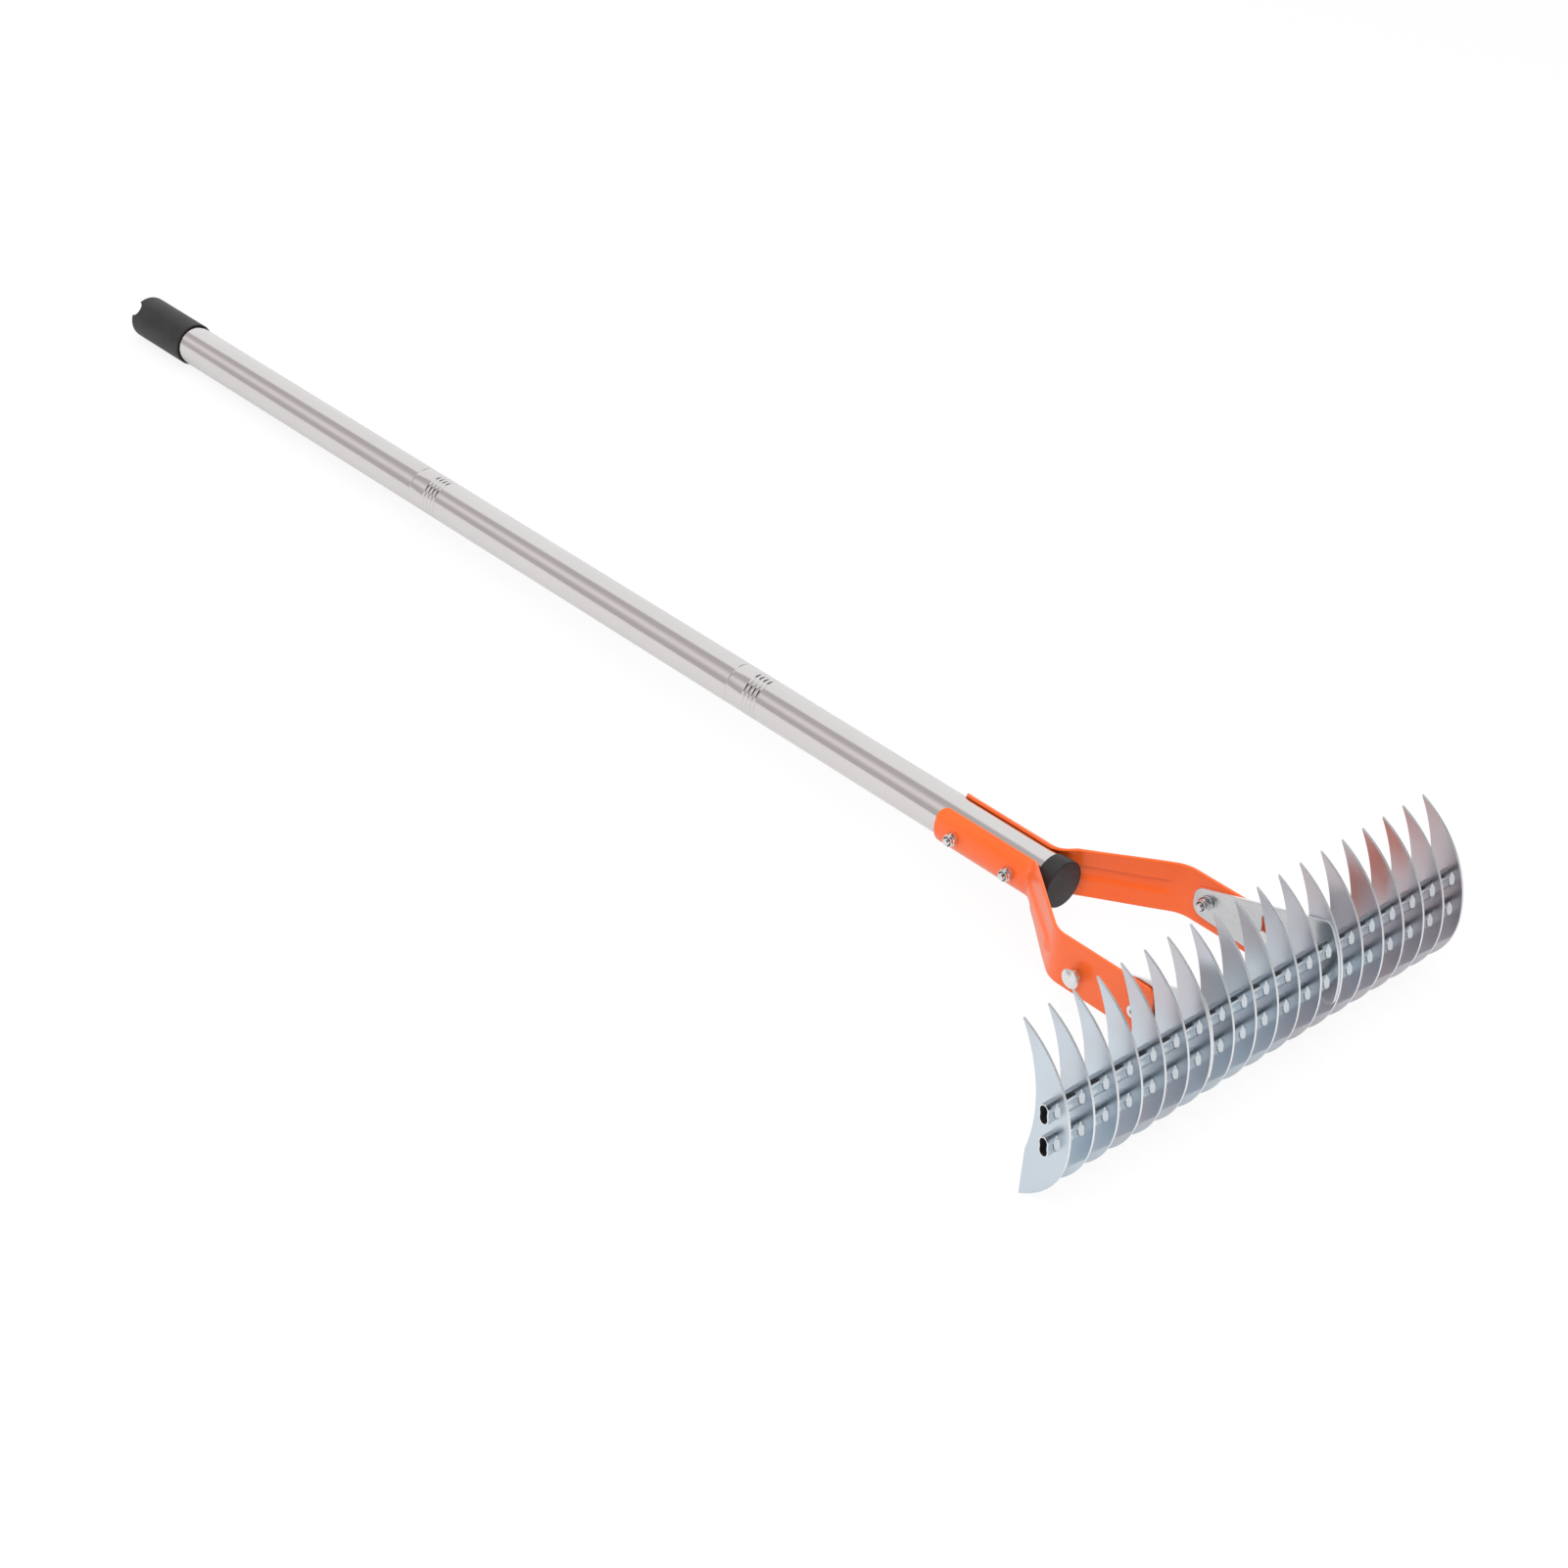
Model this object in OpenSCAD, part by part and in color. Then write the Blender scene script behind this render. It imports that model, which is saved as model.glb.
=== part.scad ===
// Thatch rake: crescent blades threaded on two crossbars, hung between two pressed arms
// that clamp round a three-piece tube handle.
// Everything is set out along the handle: +Y from the head to the end cap, X across the
// blades, Z up from the handle's axis, and Y = 0 at the front of the tube plug. The whole
// is then tipped until the blade heels and the end cap stand on the floor.

/* [Handle] */
// Outside diameter of the handle tube
tube_d = 32; // [28:0.5:36]
// Wall of the handle tube
tube_wall = 1; // [0.8:0.1:1.6]
// Length of the tube that carries the head
lower_len = 296.5; // [240:0.5:500]
// Length of the middle tube
middle_len = 360; // [150:1:600]
// Length of the upper tube
upper_len = 357; // [150:1:600]

/* [Tube joints] */
// Length of the insert crimped into the tube nearer the head
insert_len = 46; // [44:1:80]
// Length of the insert's stud in the next tube
stud_len = 35; // [20:1:60]
// Bore through the insert
insert_bore_d = 18; // [8:0.5:20]
// Radial clearance of the stud in the next tube
stud_clear = 0.1; // [0.05:0.05:0.3]
// Number of rings rolled into the tube round each insert
ring_count = 4; // [2:1:5]
// Distance from one rolled ring to the next
ring_pitch = 3.9; // [3.8:0.1:5]
// Distance from the joint to the nearest ring
ring_setback = 17.5; // [8:0.5:18]
// Radius of the rolled groove's section
ring_r = 1.8; // [1.6:0.1:2]
// Depth of the rolled groove
ring_depth = 0.6; // [0.3:0.1:0.7]

/* [Plug and end cap] */
// Diameter of the plug's flange
plug_d = 34; // [30:0.1:36]
// Thickness of the plug's flange
plug_flange = 12.5; // [4:0.5:13]
// Length of the plug's stem inside the tube
plug_stem = 12; // [8:1:16]
// Rounding of the plug's front edge
plug_round = 1.2; // [0.5:0.1:2]
// Outside diameter of the end cap
cap_d = 35; // [34:0.5:42]
// Length of the end cap
cap_len = 69; // [50:1:100]
// Solid length of the end cap past the tube
cap_end = 20; // [16:1:26]
// Rounding of the end cap's rim
cap_round = 5; // [2:0.5:6]
// Radial clearance of the end cap on the tube
cap_clear = 0.05; // [0.05:0.05:0.3]
// Width of the hanging notch in the end cap
notch_w = 12; // [8:0.5:14]
// Depth of the hanging notch
notch_depth = 9; // [7:0.5:12]
// Direction of the notch round the handle, from +X towards +Z
notch_turn = 139; // [0:1:180]

/* [Arms] */
// Thickness of the arm's sheet
arm_t = 2.5; // [2:0.1:3.5]
// Clearance between the clamp shell and the tube
clamp_gap = 0.2; // [0.15:0.05:0.5]
// Length of the straight clamp shell, up to the bend
clamp_len = 86; // [80:1:120]
// Distance from the plug's face to the bend
clamp_start = 14; // [8:1:24]
// Upper edge of the clamp shell, from the side
clamp_top = 67; // [50:1:75]
// Lower edge of the clamp shell, from the side
clamp_low = 53; // [35:1:75]
// Distance of the clamp bolts from the two ends of the shell
clamp_bolt_inset = 18; // [12:1:25]
// Outward angle of the arm
arm_splay = 36.5; // [25:0.5:45]
// Radius of the bend next to the clamp shell
bend_1_r = 15; // [8:1:20]
// Radius of the bend before the arm's flat end
bend_2_r = 22; // [10:1:30]
// Height of the arm's flat end above the handle's axis
flat_top = 16; // [12:0.5:24]
// Depth of the arm's flat end below the handle's axis
flat_low = 22; // [12:0.5:26]
// Rounding of the arm's corners
arm_round = 7; // [3:0.5:10]
// Distance from the stop rivet to the arm's end
arm_tail = 13; // [9:0.5:20]

/* [Pivot] */
// Distance from the plug's face to the pivot
pivot_reach = 71; // [66:0.5:85]
// Distance from the pivot to the stop rivet
stop_reach = 47; // [36:0.5:52]
// Swing of the head between its stops
swing = 15; // [8:1:20]
// Diameter of the bolts and the stop rivets
bolt_d = 5; // [4:0.5:6]
// Radial clearance of a bolt in a fixed hole
bolt_clear = 0.1; // [0.05:0.05:0.3]
// Radial clearance of the pivot bolt in the bracket
pivot_clear = 0.08; // [0.02:0.01:0.1]
// Radial clearance of the stop rivet in its slot
stop_clear = 0.3; // [0.2:0.05:0.5]
// Gap between pieces that swing past each other
side_gap = 0.3; // [0.2:0.05:0.6]
// Diameter of the round bolt heads
head_d = 13.6; // [10:0.2:16]
// Height of the round bolt heads
head_h = 3.3; // [2:0.1:5]
// Width across the flats of the hexagon collar under a pivot bolt's head
collar_af = 8; // [7:0.2:10]
// Length of the hexagon collar under a pivot bolt's head
collar_len = 6.5; // [2:0.1:9]
// Width of the nuts across their flats
nut_af = 8; // [7:0.5:10]
// Height of the hexagon of the nuts
nut_hex_h = 4.2; // [3:0.1:6]
// Height of the round locking collar of the nuts
nut_ring_h = 2; // [1:0.1:3]
// Length of bolt that shows past its nut
bolt_past = 2; // [0.5:0.1:5]
// Diameter of the pivot washers
washer_d = 10; // [8:0.2:14]
// Thickness of the pivot washers
washer_t = 1; // [0.5:0.1:2]
// Diameter of the stop rivets' heads
rivet_head_d = 11; // [8:0.2:14]
// Height of the stop rivets' heads
rivet_head_h = 2.2; // [1:0.1:4]
// Diameter of the hollow in the stop rivets' heads
rivet_hollow_d = 3.6; // [2:0.1:3.6]
// Depth of the hollow in the stop rivets' heads
rivet_hollow = 3; // [1:0.1:4]
// Thickness of the stop rivets' inner flange
rivet_flange = 1.5; // [1:0.1:3]

/* [Brackets] */
// Blades from the middle one to the one that the bracket lies against
bracket_blade = 3; // [2:1:3]
// Thickness of the bracket plates
bracket_t = 2; // [1.5:0.1:4]
// Distance of the bracket's end behind the pivot
bracket_eye = 11.5; // [9:0.5:14]
// Height of the bracket's end above the pivot
bracket_top = 6; // [5:0.5:10]
// Depth of the bracket's end below the pivot
bracket_low = 13; // [9:0.5:15]
// Height of the bracket's front corner above the upper crossbar
bracket_rise = 21.5; // [12:0.5:24]
// Depth of the bracket's front corner below the lower crossbar
bracket_drop = 15; // [9:0.5:20]
// Distance of the bracket's front edge behind the blades' front edges
bracket_inset = 0.5; // [0.3:0.1:5]
// Rounding of the bracket's front corners
bracket_round = 6; // [4:0.5:6]

/* [Blades] */
// Number of blades
blade_count = 19; // [15:2:25]
// Distance from one blade to the next
blade_pitch = 21.2; // [18:0.1:26]
// Thickness of the blade sheet
blade_t = 1.8; // [1.2:0.1:2.4]
// Distance from the arms' ends to the blades' heel edges
blade_gap = 16; // [10:0.5:40]
// Depth of the blades' foremost point below the handle's axis
belly_low = 8; // [0:0.5:16]
// Distance of the upper tip behind the foremost point
tip_back = 47; // [38:0.5:52]
// Height of the upper tip above the foremost point
tip_rise = 72; // [60:0.5:84]
// Distance of the heel behind the foremost point
heel_back = 32; // [28:0.5:38]
// Depth of the heel below the foremost point
heel_drop = 50.5; // [44:0.5:60]
// Depth below the foremost point where the straight heel edge starts
waist_drop = 16; // [8:0.5:24]
// Radius of the hollow back edge
hollow_r = 110; // [95:1:160]
// Angle below the foremost point at which the sharpened edge starts
edge_start = 16.5; // [5:0.5:25]
// Depth of sheet taken off at the sharpened edge
edge_cut = 1.1; // [0.5:0.1:1.1]

/* [Crossbars] */
// Tall side of the flattened crossbar tubes
bar_h = 14.2; // [11:0.2:16]
// Narrow side of the flattened crossbar tubes
bar_w = 7.5; // [5:0.1:9]
// Wall of the crossbar tubes
bar_wall = 0.8; // [0.6:0.1:1.6]
// Distance of the crossbars behind the blades' foremost point
bar_back = 14; // [12:0.5:17]
// Height of the middle between the crossbars above the foremost point
bar_rise = 13; // [6:0.5:18]
// Distance between the crossbars
bar_gap = 22.4; // [18:0.2:28]
// Lean of the crossbars, tops towards the handle
bar_lean = 8; // [0:1:14]
// Length of crossbar outside the outer blades
bar_over = 9; // [7:0.5:20]
// Radius of the ears swaged out beside each blade
ear_r = 6; // [4.5:0.1:6.4]
// Clearance round a crossbar in its holes
bar_clear = 0.1; // [0.05:0.05:0.3]

/* [Hidden] */
$fn = 64;
eps = 1;

tube_r = tube_d / 2;
bore_r = tube_r - tube_wall;
lower_end = plug_flange + lower_len;
middle_end = lower_end + middle_len;
upper_end = middle_end + upper_len;
handle_end = upper_end + cap_end;
cap_r = cap_d / 2;

bolt_r = bolt_d / 2;
shell_r = tube_r + clamp_gap;
shell_out = shell_r + arm_t;
clamp_end = clamp_start + clamp_len;
clamp_bolt_ys = [clamp_start + clamp_bolt_inset, clamp_end - clamp_bolt_inset];
bracket_out = bracket_blade * blade_pitch - blade_t / 2;
bracket_in = bracket_out - bracket_t;
arm_x = bracket_out + side_gap;
arm_out = arm_x + arm_t;
nut_h = nut_hex_h + nut_ring_h;
pivot_y = -pivot_reach;
stop_y = pivot_y - stop_reach;
stop_slot_r = bolt_r + stop_clear;
arm_end_y = stop_y - arm_tail;

// Outline points are [y, z]
belly = [arm_end_y - blade_gap - heel_back, -belly_low];
tip = belly + [tip_back, tip_rise];
heel = belly + [heel_back, -heel_drop];
waist = [heel[0], belly[1] - waist_drop];
front_r = (tip_back * tip_back + tip_rise * tip_rise) / (2 * tip_back);
edge_r = (heel_back * heel_back + heel_drop * heel_drop) / (2 * heel_back);
bar_mid = belly + [bar_back, bar_rise];
bar_step = bar_gap / 2 * [sin(bar_lean), cos(bar_lean)];
upper_bar = bar_mid + bar_step;
lower_bar = bar_mid - bar_step;
blade_xs = [for (i = [1:blade_count]) (i - (blade_count + 1) / 2) * blade_pitch];
bar_half = blade_xs[blade_count - 1] + bar_over;

// The floor passes under the heels and touches the rounded rim of the end cap
rim = [handle_end - cap_round, cap_round - cap_r];
rim_away = rim - heel;
rest_tilt = atan2(rim_away[1], rim_away[0]) - asin(cap_round / norm(rim_away));
floor_lift = heel[0] * sin(rest_tilt) - heel[1] * cos(rest_tilt);
front_most = (belly[0] + edge_r) * cos(rest_tilt) + belly[1] * sin(rest_tilt) - edge_r;
back_most = rim[0] * cos(rest_tilt) - rim[1] * sin(rest_tilt) + cap_round;
middle_shift = -(front_most + back_most) / 2;

function two_digits(i) = str(i < 10 ? "0" : "", i);
function blade_name(i) = str("blade_", two_digits(i));

// Placing
module placed() {
    translate([0, middle_shift, floor_lift]) rotate([-rest_tilt, 0, 0]) children();
}

// Turns a shape built along Z so that it runs along the handle
module along_handle(y) {
    translate([0, y, 0]) rotate([-90, 0, 0]) children();
}

// Turns a shape built along Z so that it runs along X from x, at the outline point p
module along_x(x, p) {
    translate([x, p[0], p[1]]) rotate([90, 0, 90]) children();
}

// Extrudes an outline of [y, z] points along X
module across(x, t) {
    along_x(x, [0, 0]) linear_extrude(t) children();
}

module both_sides() {
    children();
    mirror([1, 0, 0]) children();
}

// Outlines
function unit(v) = v / norm(v);
function direction(v) = atan2(v[1], v[0]);
function shortest(a) = a > 180 ? a - 360 : a < -180 ? a + 360 : a;
function arc(c, r, a0, a1, n) =
    [for (i = [0:n]) let (a = a0 + (a1 - a0) * i / n) c + r * [cos(a), sin(a)]];

// The corner c between its neighbours p and q, rounded to radius r
function rounded(p, c, q, r) =
    let (u = unit(p - c),
         v = unit(q - c),
         half = acos(u * v) / 2,
         run = r / tan(half),
         m = c + unit(u + v) * r / sin(half),
         a0 = direction(c + u * run - m),
         turn = shortest(direction(c + v * run - m) - a0))
    arc(m, r, a0, a0 + turn, 12);

module obround(w, h) {
    square([w, h - w], center = true);
    for (side = [-1, 1]) translate([0, side * (h - w) / 2]) circle(d = w);
}

// Handle
module rolled_rings(end_y, r) {
    for (i = [0:ring_count - 1])
        along_handle(end_y - ring_setback - i * ring_pitch)
            rotate_extrude() translate([tube_r + ring_r - ring_depth, 0]) circle(r);
}

module plain_tube(y, length) {
    along_handle(y) difference() {
        cylinder(r = tube_r, h = length);
        translate([0, 0, -eps]) cylinder(r = bore_r, h = length + 2 * eps);
    }
}

// A tube with rings rolled in at its far end: the wall keeps its thickness in each ring
module ringed_tube(y, length) {
    difference() {
        union() {
            plain_tube(y, length);
            intersection() {
                rolled_rings(y + length, ring_r + tube_wall);
                along_handle(y) cylinder(r = tube_r, h = length);
            }
        }
        rolled_rings(y + length, ring_r);
    }
}

module joint_insert(joint_y) {
    color("dimgray") difference() {
        union() {
            along_handle(joint_y - insert_len) cylinder(r = bore_r, h = insert_len);
            along_handle(joint_y) cylinder(r = bore_r - stud_clear, h = stud_len);
        }
        along_handle(joint_y - insert_len - eps)
            cylinder(d = insert_bore_d, h = insert_len + stud_len + 2 * eps);
        rolled_rings(joint_y, ring_r + tube_wall);
    }
}

module clamp_bores(r, half) {
    for (y = clamp_bolt_ys) along_x(-half, [y, 0]) cylinder(r = r, h = 2 * half);
}

module handle_tube_lower() {
    color("gainsboro") difference() {
        ringed_tube(plug_flange, lower_len);
        clamp_bores(bolt_r + bolt_clear, shell_out);
    }
}

module handle_tube_middle() {
    color("gainsboro") ringed_tube(lower_end, middle_len);
}

module handle_tube_upper() {
    color("gainsboro") plain_tube(middle_end, upper_len);
}

module tube_plug() {
    plug_r = plug_d / 2;
    face_r = plug_r - plug_round;
    color("#2b2b2e") along_handle(0) union() {
        rotate_extrude() {
            square([face_r, plug_flange]);
            translate([0, plug_round]) square([plug_r, plug_flange - plug_round]);
            translate([face_r, plug_round]) circle(plug_round);
        }
        cylinder(r = bore_r, h = plug_flange + plug_stem);
    }
}

module notch_cutter() {
    notch_r = notch_w / 2;
    reach = cap_d;
    translate([0, handle_end - notch_depth + notch_r, 0]) rotate([0, -notch_turn, 0]) {
        rotate([0, 90, 0]) translate([0, 0, -reach]) cylinder(r = notch_r, h = 2 * reach);
        translate([-reach, 0, -notch_r]) cube([2 * reach, notch_depth + eps, notch_w]);
    }
}

module end_cap() {
    sleeve = cap_len - cap_end;
    color("#2b2b2e") difference() {
        along_handle(handle_end - cap_len) rotate_extrude() {
            square([cap_r - cap_round, cap_len]);
            square([cap_r, cap_len - cap_round]);
            translate([cap_r - cap_round, cap_len - cap_round]) circle(cap_round);
        }
        along_handle(handle_end - cap_len - eps) cylinder(r = tube_r + cap_clear, h = sleeve + eps);
        notch_cutter();
    }
}

// Arms
// One pressed sheet serves both sides: a clamp shell, an outward bend where the shell
// opens out flat, a bend back, and a flat end. Its inner face follows a path in plan that
// is measured by the length s from the shell's far end.
arc_1 = bend_1_r * arm_splay * PI / 180;
arc_2 = bend_2_r * arm_splay * PI / 180;
run_1 = bend_1_r * tan(arm_splay / 2);
run_2 = bend_2_r * tan(arm_splay / 2);
slant_len = (arm_x - shell_r) / sin(arm_splay);
corner_2_y = clamp_start - slant_len * cos(arm_splay);
s_bend_1 = clamp_len - run_1;
s_slant = s_bend_1 + arc_1;
s_bend_2 = s_slant + slant_len - run_1 - run_2;
s_flat = s_bend_2 + arc_2;
arm_len = s_flat + corner_2_y - run_2 - arm_end_y;

// The shell opens over this length, most of it close to the first bend
fan_margin = 6;
fan_share = 0.7;
fan_start = s_bend_1 - fan_margin;
fan_end = s_slant + fan_margin;

arm_quads = 12;
degree = 180 / PI;

// [x, y, heading] of the inner face at s, with the heading from -Y towards +X
function arm_path(s) =
    s <= s_bend_1 ? [shell_r, clamp_end - s, 0]
    : s <= s_slant
        ? let (a = (s - s_bend_1) / bend_1_r * degree)
          [shell_r + bend_1_r * (1 - cos(a)), clamp_end - s_bend_1 - bend_1_r * sin(a), a]
    : s <= s_bend_2
        ? let (left = s_bend_2 - s, end = arm_path(s_bend_2 + 0.001))
          [end[0] - left * sin(arm_splay), end[1] + left * cos(arm_splay), arm_splay]
    : s <= s_flat
        ? let (a = (s_flat - s) / bend_2_r * degree)
          [arm_x - bend_2_r * (1 - cos(a)), corner_2_y - run_2 + bend_2_r * sin(a), a]
    : [arm_x, corner_2_y - run_2 - (s - s_flat), 0];

function smooth(t) = let (u = min(max(t, 0), 1)) u * u * (3 - 2 * u);
function flatness(s) =
    fan_share * smooth((s - fan_start) / (fan_end - fan_start))
    + (1 - fan_share) * smooth((s - s_slant) / (s_bend_2 - s_slant));

// How far the sheet's edges draw in at a rounded end, d from that end
function corner_inset(d) =
    d >= arm_round ? 0 : arm_round - sqrt(arm_round * arm_round - pow(arm_round - d, 2));
function edge_inset(s) = corner_inset(s) + corner_inset(arm_len - s);

// A point of the sheet: v runs from its lower edge to its upper edge, depth from its inner face
function arm_point(s, v, depth) =
    let (p = arm_path(s),
         curl = 1 - flatness(s),
         inset = edge_inset(s),
         inset_a = inset / shell_r * degree,
         a = -clamp_low + inset_a + v * (clamp_top + clamp_low - 2 * inset_a),
         z_flat = -flat_low + inset + v * (flat_top + flat_low - 2 * inset),
         r = shell_r + depth,
         off = depth - curl * r * (1 - cos(a)))
    [p[0] + off * cos(p[2]), p[1] + off * sin(p[2]), curl * r * sin(a) + (1 - curl) * z_flat];

function steps(from, to, n) = [for (i = [0:n - 1]) from + (to - from) * i / n];
corner_steps = [for (a = [0:18:90]) arm_round * (1 - cos(a))];
stations = concat(
    corner_steps,
    steps(fan_start, fan_end, 9),
    steps(fan_end, s_bend_2, 6),
    steps(s_bend_2, s_flat, 6),
    [s_flat],
    [for (i = [len(corner_steps) - 1:-1:0]) arm_len - corner_steps[i]]);

module arm_sheet() {
    rows = len(stations);
    cols = arm_quads + 1;
    side = rows * cols;
    points = [for (depth = [0, arm_t]) for (s = stations) for (j = [0:arm_quads])
        arm_point(s, j / arm_quads, depth)];
    faces = [
        for (i = [0:rows - 2]) for (j = [0:cols - 2]) let (a = i * cols + j, b = a + cols)
            each [[a, b, a + 1], [b, b + 1, a + 1],
                  [side + a, side + a + 1, side + b], [side + b, side + a + 1, side + b + 1]],
        for (i = [0:rows - 2]) for (j = [0, cols - 1]) let (a = i * cols + j, b = a + cols)
            each j == 0 ? [[a, side + a, b], [b, side + a, side + b]]
                        : [[a, b, side + a], [b, side + b, side + a]],
        for (i = [0, rows - 1]) for (j = [0:cols - 2]) let (a = i * cols + j)
            each i == 0 ? [[a, a + 1, side + a], [a + 1, side + a + 1, side + a]]
                        : [[a, side + a, a + 1], [a + 1, side + a, side + a + 1]]];
    polyhedron(points, faces);
}

module arm() {
    color("#f26a2a") difference() {
        arm_sheet();
        clamp_bores(bolt_r + bolt_clear, shell_out + eps);
        for (y = [pivot_y, stop_y])
            along_x(arm_x - eps, [y, 0]) cylinder(r = bolt_r + bolt_clear, h = arm_t + 2 * eps);
    }
}

module right_arm() {
    arm();
}

module left_arm() {
    rotate([0, 180, 0]) arm();
}

// Fasteners
module round_head() {
    crown = (head_d * head_d / 4 + head_h * head_h) / (2 * head_h);
    intersection() {
        translate([0, 0, head_h - crown]) sphere(crown);
        cylinder(d = head_d, h = head_h);
    }
}

module lock_nut() {
    difference() {
        union() {
            cylinder(d = nut_af / cos(30), h = nut_hex_h, $fn = 6);
            cylinder(d = nut_af - 0.8, h = nut_h);
        }
        translate([0, 0, -eps]) cylinder(r = bolt_r, h = nut_h + 2 * eps);
    }
}

module clamp_bolts() {
    past = shell_out + nut_h + bolt_past;
    color("silver") for (y = clamp_bolt_ys) {
        along_x(shell_out, [y, 0]) round_head();
        along_x(-past, [y, 0]) cylinder(r = bolt_r, h = past + shell_out + eps);
    }
}

module clamp_nuts() {
    color("silver") for (y = clamp_bolt_ys)
        mirror([1, 0, 0]) along_x(shell_out, [y, 0]) lock_nut();
}

nut_seat = bracket_in - side_gap - washer_t;

module pivot_bolts() {
    bolt_end = nut_seat - nut_h - bolt_past;
    color("silver") both_sides() {
        along_x(arm_out + collar_len, [pivot_y, 0]) round_head();
        along_x(arm_out, [pivot_y, 0]) cylinder(d = collar_af / cos(30), h = collar_len, $fn = 6);
        along_x(bolt_end, [pivot_y, 0]) cylinder(r = bolt_r, h = arm_out + eps - bolt_end);
    }
}

module pivot_washers() {
    color("silver") both_sides() along_x(nut_seat, [pivot_y, 0]) difference() {
        cylinder(d = washer_d, h = washer_t);
        translate([0, 0, -eps]) cylinder(r = bolt_r, h = washer_t + 2 * eps);
    }
}

module pivot_nuts() {
    color("silver") both_sides()
        along_x(nut_seat, [pivot_y, 0]) mirror([0, 0, 1]) lock_nut();
}

module stop_rivets() {
    flange_out = bracket_in - side_gap;
    flange_in = flange_out - rivet_flange;
    head_end = arm_out + rivet_head_h;
    color("silver") both_sides() difference() {
        union() {
            along_x(arm_out, [stop_y, 0]) cylinder(d = rivet_head_d, h = rivet_head_h);
            along_x(flange_in, [stop_y, 0]) cylinder(r = bolt_r, h = arm_out + eps - flange_in);
            along_x(flange_in, [stop_y, 0]) cylinder(d = rivet_head_d - 2, h = rivet_flange);
        }
        along_x(head_end - rivet_hollow, [stop_y, 0]) cylinder(d = rivet_hollow_d, h = rivet_hollow + eps);
    }
}

// Head
module bar_section(grow) {
    rotate(-bar_lean) obround(bar_w + 2 * grow, bar_h + 2 * grow);
}

module bar_holes(x, t) {
    for (bar = [upper_bar, lower_bar])
        along_x(x, bar) linear_extrude(t) bar_section(bar_clear);
}

// Slot for the stop rivet, which lies at its lower end when the rake stands on the floor
function inner_points(a) = [for (i = [1:len(a) - 2]) a[i]];
function stop_slot() =
    let (pivot = [pivot_y, 0],
         high = 180 - swing,
         out_r = stop_reach + stop_slot_r,
         in_r = stop_reach - stop_slot_r,
         low_end = pivot - [stop_reach, 0],
         high_end = pivot + stop_reach * [cos(high), sin(high)])
    concat(inner_points(arc(pivot, out_r, high, 180, 8)),
           arc(low_end, stop_slot_r, 180, 360, 12),
           inner_points(arc(pivot, in_r, 180, high, 8)),
           arc(high_end, stop_slot_r, high + 180, high + 360, 12));

// Side view of a bracket: a rounded end at the pivot, and a front edge that follows the blades
function bracket_outline() =
    let (back_top = [pivot_y + bracket_eye, bracket_top],
         back_low = [pivot_y + bracket_eye, -bracket_low],
         end_r = (bracket_top + bracket_low) * 0.45,
         front_c = belly + [front_r, 0],
         r = front_r - bracket_inset,
         top_a = 180 - asin((upper_bar[1] + bracket_rise - belly[1]) / r),
         low_a = 180 + asin((belly[1] + bracket_drop - lower_bar[1]) / r),
         front = arc(front_c, r, top_a, low_a, 8))
    concat(rounded(back_low, back_top, front[0], end_r),
           rounded(back_top, front[0], front[1], bracket_round),
           [for (i = [1:7]) front[i]],
           rounded(front[7], front[8], back_low, bracket_round),
           rounded(front[8], back_low, back_top, end_r));

module right_bracket() {
    deep = bracket_t + 2 * eps;
    color("lightgray") difference() {
        across(bracket_in, bracket_t) polygon(bracket_outline());
        bar_holes(bracket_in - eps, deep);
        across(bracket_in - eps, deep) polygon(stop_slot());
        along_x(bracket_in - eps, [pivot_y, 0]) cylinder(r = bolt_r + pivot_clear, h = deep);
    }
}

module left_bracket() {
    mirror([1, 0, 0]) right_bracket();
}

// Plan of a crossbar's ears: a half disc on each face of every blade, cut short by the brackets
module ear_plan() {
    difference() {
        for (x = blade_xs) translate([x, 0]) circle(ear_r);
        for (x = blade_xs) translate([x, 0]) square([blade_t, bar_h * 2], center = true);
        for (side = [-1, 1])
            translate([side * (bracket_in + bracket_out) / 2, 0])
                square([bracket_t, bar_h * 2], center = true);
    }
}

module crossbar(bar) {
    ear_h = bar_h - bar_w - 0.5;
    color("silver") difference() {
        union() {
            along_x(-bar_half, bar) linear_extrude(2 * bar_half) bar_section(0);
            translate([0, bar[0], bar[1]]) rotate([-bar_lean, 0, 0])
                translate([0, 0, -ear_h / 2]) linear_extrude(ear_h) ear_plan();
        }
        along_x(-bar_half - eps, bar) linear_extrude(2 * bar_half + 2 * eps) bar_section(-bar_wall);
    }
}

module upper_crossbar() {
    crossbar(upper_bar);
}

module lower_crossbar() {
    crossbar(lower_bar);
}

// Side view of a blade: tip, front edge, sharpened lower edge, straight heel edge, hollow back
function blade_outline() =
    let (front_c = belly + [front_r, 0],
         edge_c = belly + [edge_r, 0],
         chord = tip - waist,
         hollow_c = (tip + waist) / 2
             + sqrt(hollow_r * hollow_r - chord * chord / 4) * [chord[1], -chord[0]] / norm(chord),
         tip_a = direction(tip - front_c),
         heel_a = direction(heel - edge_c) + 360,
         back_a = direction(waist - hollow_c) + 360,
         end_a = direction(tip - hollow_c))
    concat(arc(front_c, front_r, tip_a, 180, 16),
           [for (i = [1:14]) arc(edge_c, edge_r, 180, heel_a, 14)[i]],
           [for (i = [0:11]) arc(hollow_c, hollow_r, back_a, end_a, 12)[i]]);

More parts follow.
